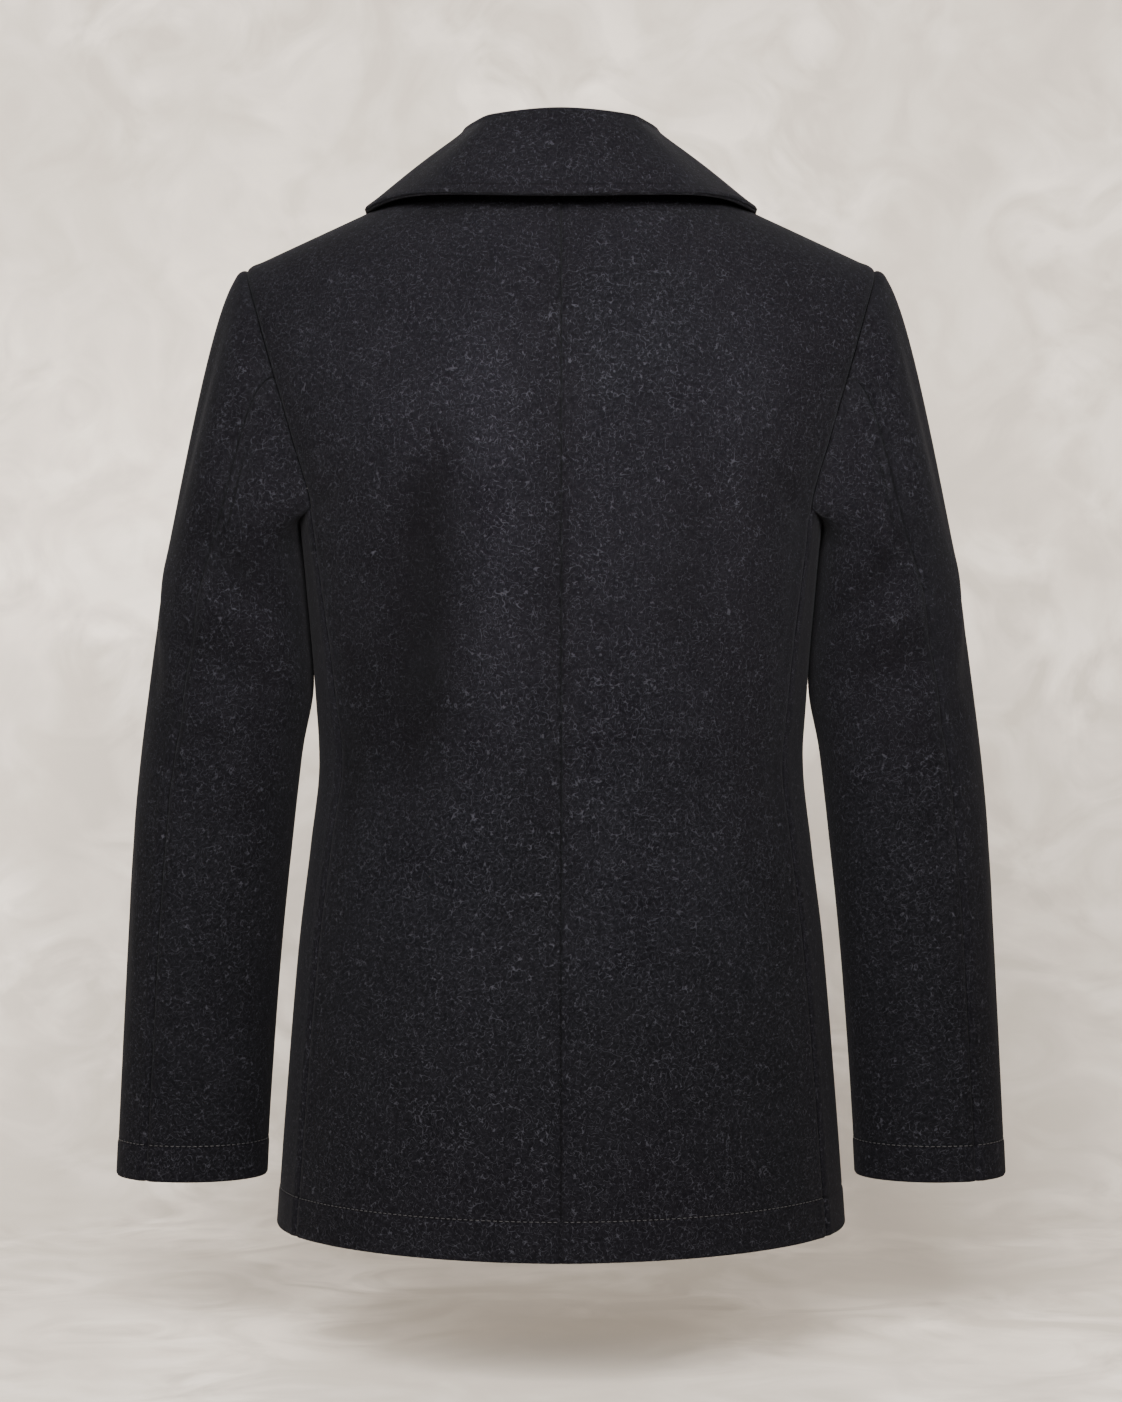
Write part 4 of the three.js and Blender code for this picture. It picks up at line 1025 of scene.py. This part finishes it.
class COAT_OT_buttons(Operator):
    """Make the buttons, the threads that hold them, and the buttonholes of the left front."""

    bl_idname = "coat.buttons"
    bl_label = "Buttons"

    def execute(self, context):
        look = context.scene.coat_look
        turn = np.linspace(0, 2 * np.pi, look.button_segments + 1)[:-1]
        edge = BUTTON_RADIUS
        back = {"radius": [0.02, 8, edge - 1.8, edge - 0.5, edge], "height": [0, 0, 0.1, 0.8, BUTTON_THICK / 2]}
        rim = edge - np.array([0, 0.1, 0.4, 0.9, 1.6, 2.3, 3, 3.6])
        front = np.concatenate([rim, np.linspace(edge - 4, 0.02, 44)])
        face = BUTTON_THICK - BUTTON_RIM * smooth(front, edge - 1, edge) - 1.5 * smooth(-front, 2 - edge, 4.4 - edge)
        radius = np.concatenate([back["radius"], front])[:, None] + 0 * turn
        height = np.concatenate([back["height"], face])[:, None] + 0 * turn
        x, y = radius * np.cos(turn), radius * np.sin(turn)
        away = np.hypot(np.abs(x) - BUTTON_HOLE["from_middle"], np.abs(y) - BUTTON_HOLE["from_middle"])
        holes = smooth(BUTTON_HOLE["radius"] - away, -0.15, 0.15)
        height = height - BUTTON_HOLE["depth"] * holes * (np.arange(len(radius)) > len(rim))[:, None]
        for column_x in BUTTON_COLUMNS:
            for row, z in enumerate(BUTTON_ROWS):
                lift = WALL / 2 + SEAT_GAP
                centre, normal = on_front(np.array(column_x), np.array(z), 1, np.array(lift))
                level = unit(np.cross([0, 0, 1], normal))
                up = np.cross(normal, level)
                frame_of = np.stack([level, up, normal])
                points = centre + stack(x, y, height) @ frame_of
                side = "left" if column_x > 0 else "right"
                name = f"button_{side}_{row + 1}"
                faces = tube_faces(len(radius), len(turn), 1)
                made = new_object("horn_" + name, points.reshape(-1, 3), faces, "polished_resin")
                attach(made, "root")
                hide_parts(name)
                self.sew(centre, frame_of, name)
                if column_x < 0:
                    self.buttonhole(z, name)
        return {"FINISHED"}

    def sew(self, centre, frame_of, name):
        """Two bars of thread, of two strands each, arched from hole to hole: the root of a half wave."""
        u = np.linspace(0, 1, 13)
        ring = np.linspace(0, 2 * np.pi, 9)[:-1]
        bars = []
        out = BUTTON_HOLE["from_middle"]
        for row in (-out, out):
            for strand in (-0.32, 0.32):
                path = stack(lerp(-out, out, u), row + strand + 0 * u, 1.6 + 1.5 * np.sin(np.pi * u) ** 0.5)
                size = STRAND * np.minimum(1, 0.1 + 8 * np.minimum(u, 1 - u))
                circle = stack(0 * ring, np.cos(ring), np.sin(ring))
                bars.append(path[:, None] + circle[None] * size[:, None, None])
        points = centre + np.concatenate([bar.reshape(-1, 3) for bar in bars]) @ frame_of
        made = new_object("thread_" + name, points, tube_faces(len(u), len(ring), len(bars)), "twisted_thread")
        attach(made, "root")

    def buttonhole(self, z, name):
        """A keyhole buttonhole: a bead of close stitches round a slot, its radius in small waves."""
        u = np.linspace(0, 2 * np.pi, 241)[:-1]
        x = BUTTONHOLE["x"] + BUTTONHOLE["half_length"] * np.sign(np.cos(u)) * np.abs(np.cos(u)) ** 0.6
        rise = z + BUTTONHOLE["half_width"] * np.sin(u) * (1 + 0.35 * smooth(np.cos(u), 0.5, 1))
        path, normal = on_front(x, rise, 1, np.full(u.shape, WALL / 2 + 0.25))
        tangent = unit(np.roll(path, -1, 0) - np.roll(path, 1, 0))
        aside = np.cross(tangent, normal)
        ring = np.linspace(0, 2 * np.pi, 9)[:-1]
        size = (BUTTONHOLE["bead"] + 0.16 * np.cos(u * BUTTONHOLE["stitches"]))[:, None, None]
        circle = aside[:, None] * np.cos(ring)[:, None] + normal[:, None] * np.sin(ring)[:, None]
        points = path[:, None] + circle * size
        rows = np.arange(len(u))[:, None] * len(ring)
        beside = np.roll(rows, -1, axis=0)
        cols, after = np.arange(len(ring)), np.roll(np.arange(len(ring)), -1)
        faces = stack(rows + cols, rows + after, beside + after, beside + cols).reshape(-1, 4)
        made = new_object("hole_" + name, points.reshape(-1, 3), faces, "twisted_thread")
        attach(made, "root")


class COAT_OT_stitching(Operator):
    """Sew the rows of stitches that show: hem, cuffs, collar, lapels, front edge and welts."""

    bl_idname = "coat.stitching"
    bl_label = "Stitching"

    def execute(self, context):
        look = context.scene.coat_look
        pitch, radius = look.stitch_pitch / MM, look.stitch_radius / MM

        def lines(names, border, mark, keep=slice(None)):
            found = []
            for name in names:
                surface, normals, far = SURFACES[name]
                if border in ("foot", "head"):
                    distance = far[border]
                    flip = slice(None, None, -1) if border == "head" else slice(None)
                    line = line_at(surface[flip], normals[flip], distance[flip], mark)
                else:
                    flip = slice(None, None, -1) if border == "last" else slice(None)
                    swapped = [part.swapaxes(0, 1)[flip] for part in (surface, normals, far[border])]
                    line = line_at(*swapped, mark)
                found.append(tuple(part[keep] for part in line))
            return found

        both = lambda kind: [kind + "_left", kind + "_right"]
        rows = {
            "hem": lines(both("back"), "foot", HEM_BAND + 1) + lines(["front_left"], "foot", HEM_BAND + 1),
            "cuffs": lines(both("sleeve_top") + both("sleeve_under"), "foot", CUFF_BAND + 1),
            "collar": lines(["collar_top"], "head", STITCH_IN, slice(6, -6)),
            "collar_ends": lines(["collar_top"], "first", STITCH_IN, slice(40, -6))
            + lines(["collar_top"], "last", STITCH_IN, slice(40, -6)),
            "lapels": lines(both("lapel"), "last", STITCH_IN, slice(2, -6))
            + lines(both("lapel"), "head", STITCH_IN, slice(12, -6)),
            "front_edge": lines(["front_left"], "first", STITCH_IN, slice(0, 118)),
            "pocket_welts": lines(both("pocket_welt"), "first", STITCH_IN, slice(6, -6)),
        }
        for name, found in rows.items():
            stitches("stitching_" + name, found, pitch, pitch * 0.72, radius)
        return {"FINISHED"}


class COAT_OT_studio(Operator):
    """Set up the plaster floor and backdrop, the soft lights and the camera behind the coat."""

    bl_idname = "coat.studio"
    bl_label = "Studio"

    def execute(self, context):
        self.backdrop()
        for light in zip(*LIGHTS.values()):
            self.light(*light, context.scene.coat_look.light_power)
        world = bpy.data.worlds.new("studio_air")
        world.use_nodes = True
        air = world.node_tree.nodes["Background"].inputs
        air[0].default_value = srgb(AIR["colour"])
        air[1].default_value = AIR["strength"]
        context.scene.world = world
        lens = bpy.data.cameras.new("behind_the_coat")
        lens.lens = CAMERA["lens"]
        camera = bpy.data.objects.new("behind_the_coat", lens)
        camera.location = CAMERA["place"]
        camera.rotation_euler = (math.radians(90), 0, math.radians(180))
        context.scene.collection.objects.link(camera)
        context.scene.camera = camera
        return {"FINISHED"}

    def backdrop(self):
        """A floor that bends up into a wall: two flat runs joined by a quarter circle."""
        bend = SWEEP["bend"]
        angle = np.linspace(0, np.pi / 2, 25)
        y = np.concatenate([[SWEEP["near_y"]], SWEEP["wall_y"] + bend * (1 - np.sin(angle)), [SWEEP["wall_y"]]])
        z = np.concatenate([[SWEEP["floor_z"]], SWEEP["floor_z"] + bend * (1 - np.cos(angle)), [SWEEP["top_z"]]])
        x = np.array([-1, 1]) * SWEEP["half_width"]
        points = stack(x[None, :], y[:, None], z[:, None]).reshape(-1, 3) / MM
        index = np.arange(2 * len(y)).reshape(-1, 2)
        faces = stack(index[:-1, 0], index[:-1, 1], index[1:, 1], index[1:, 0]).reshape(-1, 4)
        new_object("plaster_sweep", points, faces[:, ::-1], "matt_plaster")

    def light(self, name, place, target, size, power, colour, spread, share):
        """A square lamp at a place that points at its target."""
        lamp = bpy.data.lights.new(name, "AREA")
        lamp.spread = math.radians(spread)
        lamp.size = size
        lamp.energy = power * share
        lamp.color = srgb(colour)[:3]
        made = bpy.data.objects.new(name, lamp)
        made.location = place
        made.rotation_euler = (Vector(target) - Vector(place)).to_track_quat("-Z", "Y").to_euler()
        bpy.context.scene.collection.objects.link(made)


OPERATORS = (
    COAT_OT_backs,
    COAT_OT_fronts,
    COAT_OT_sleeves,
    COAT_OT_collar,
    COAT_OT_lapels,
    COAT_OT_pocket_welts,
    COAT_OT_buttons,
    COAT_OT_stitching,
    COAT_OT_studio,
)


class COAT_PT_panel(Panel):
    """Lists the steps that build the coat, and its colours."""

    bl_label = "Pea coat"
    bl_idname = "COAT_PT_panel"
    bl_space_type = "VIEW_3D"
    bl_region_type = "UI"
    bl_category = "Pea coat"

    def draw(self, context):
        look = context.scene.coat_look
        for name in look.bl_rna.properties.keys():
            if name not in ("rna_type", "name"):
                self.layout.prop(look, name)
        for step in OPERATORS:
            self.layout.operator(step.bl_idname)


CLASSES = (CoatLook, *OPERATORS, COAT_PT_panel)


def register():
    for made in CLASSES:
        bpy.utils.register_class(made)
    bpy.types.Scene.coat_look = PointerProperty(type=CoatLook)


def unregister():
    del bpy.types.Scene.coat_look
    for made in reversed(CLASSES):
        bpy.utils.unregister_class(made)


def main():
    register()
    for step in OPERATORS:
        group, name = step.bl_idname.split(".")
        if getattr(getattr(bpy.ops, group), name)() != {"FINISHED"}:
            raise RuntimeError(step.bl_label + " did not finish")


if __name__ == "__main__":
    main()
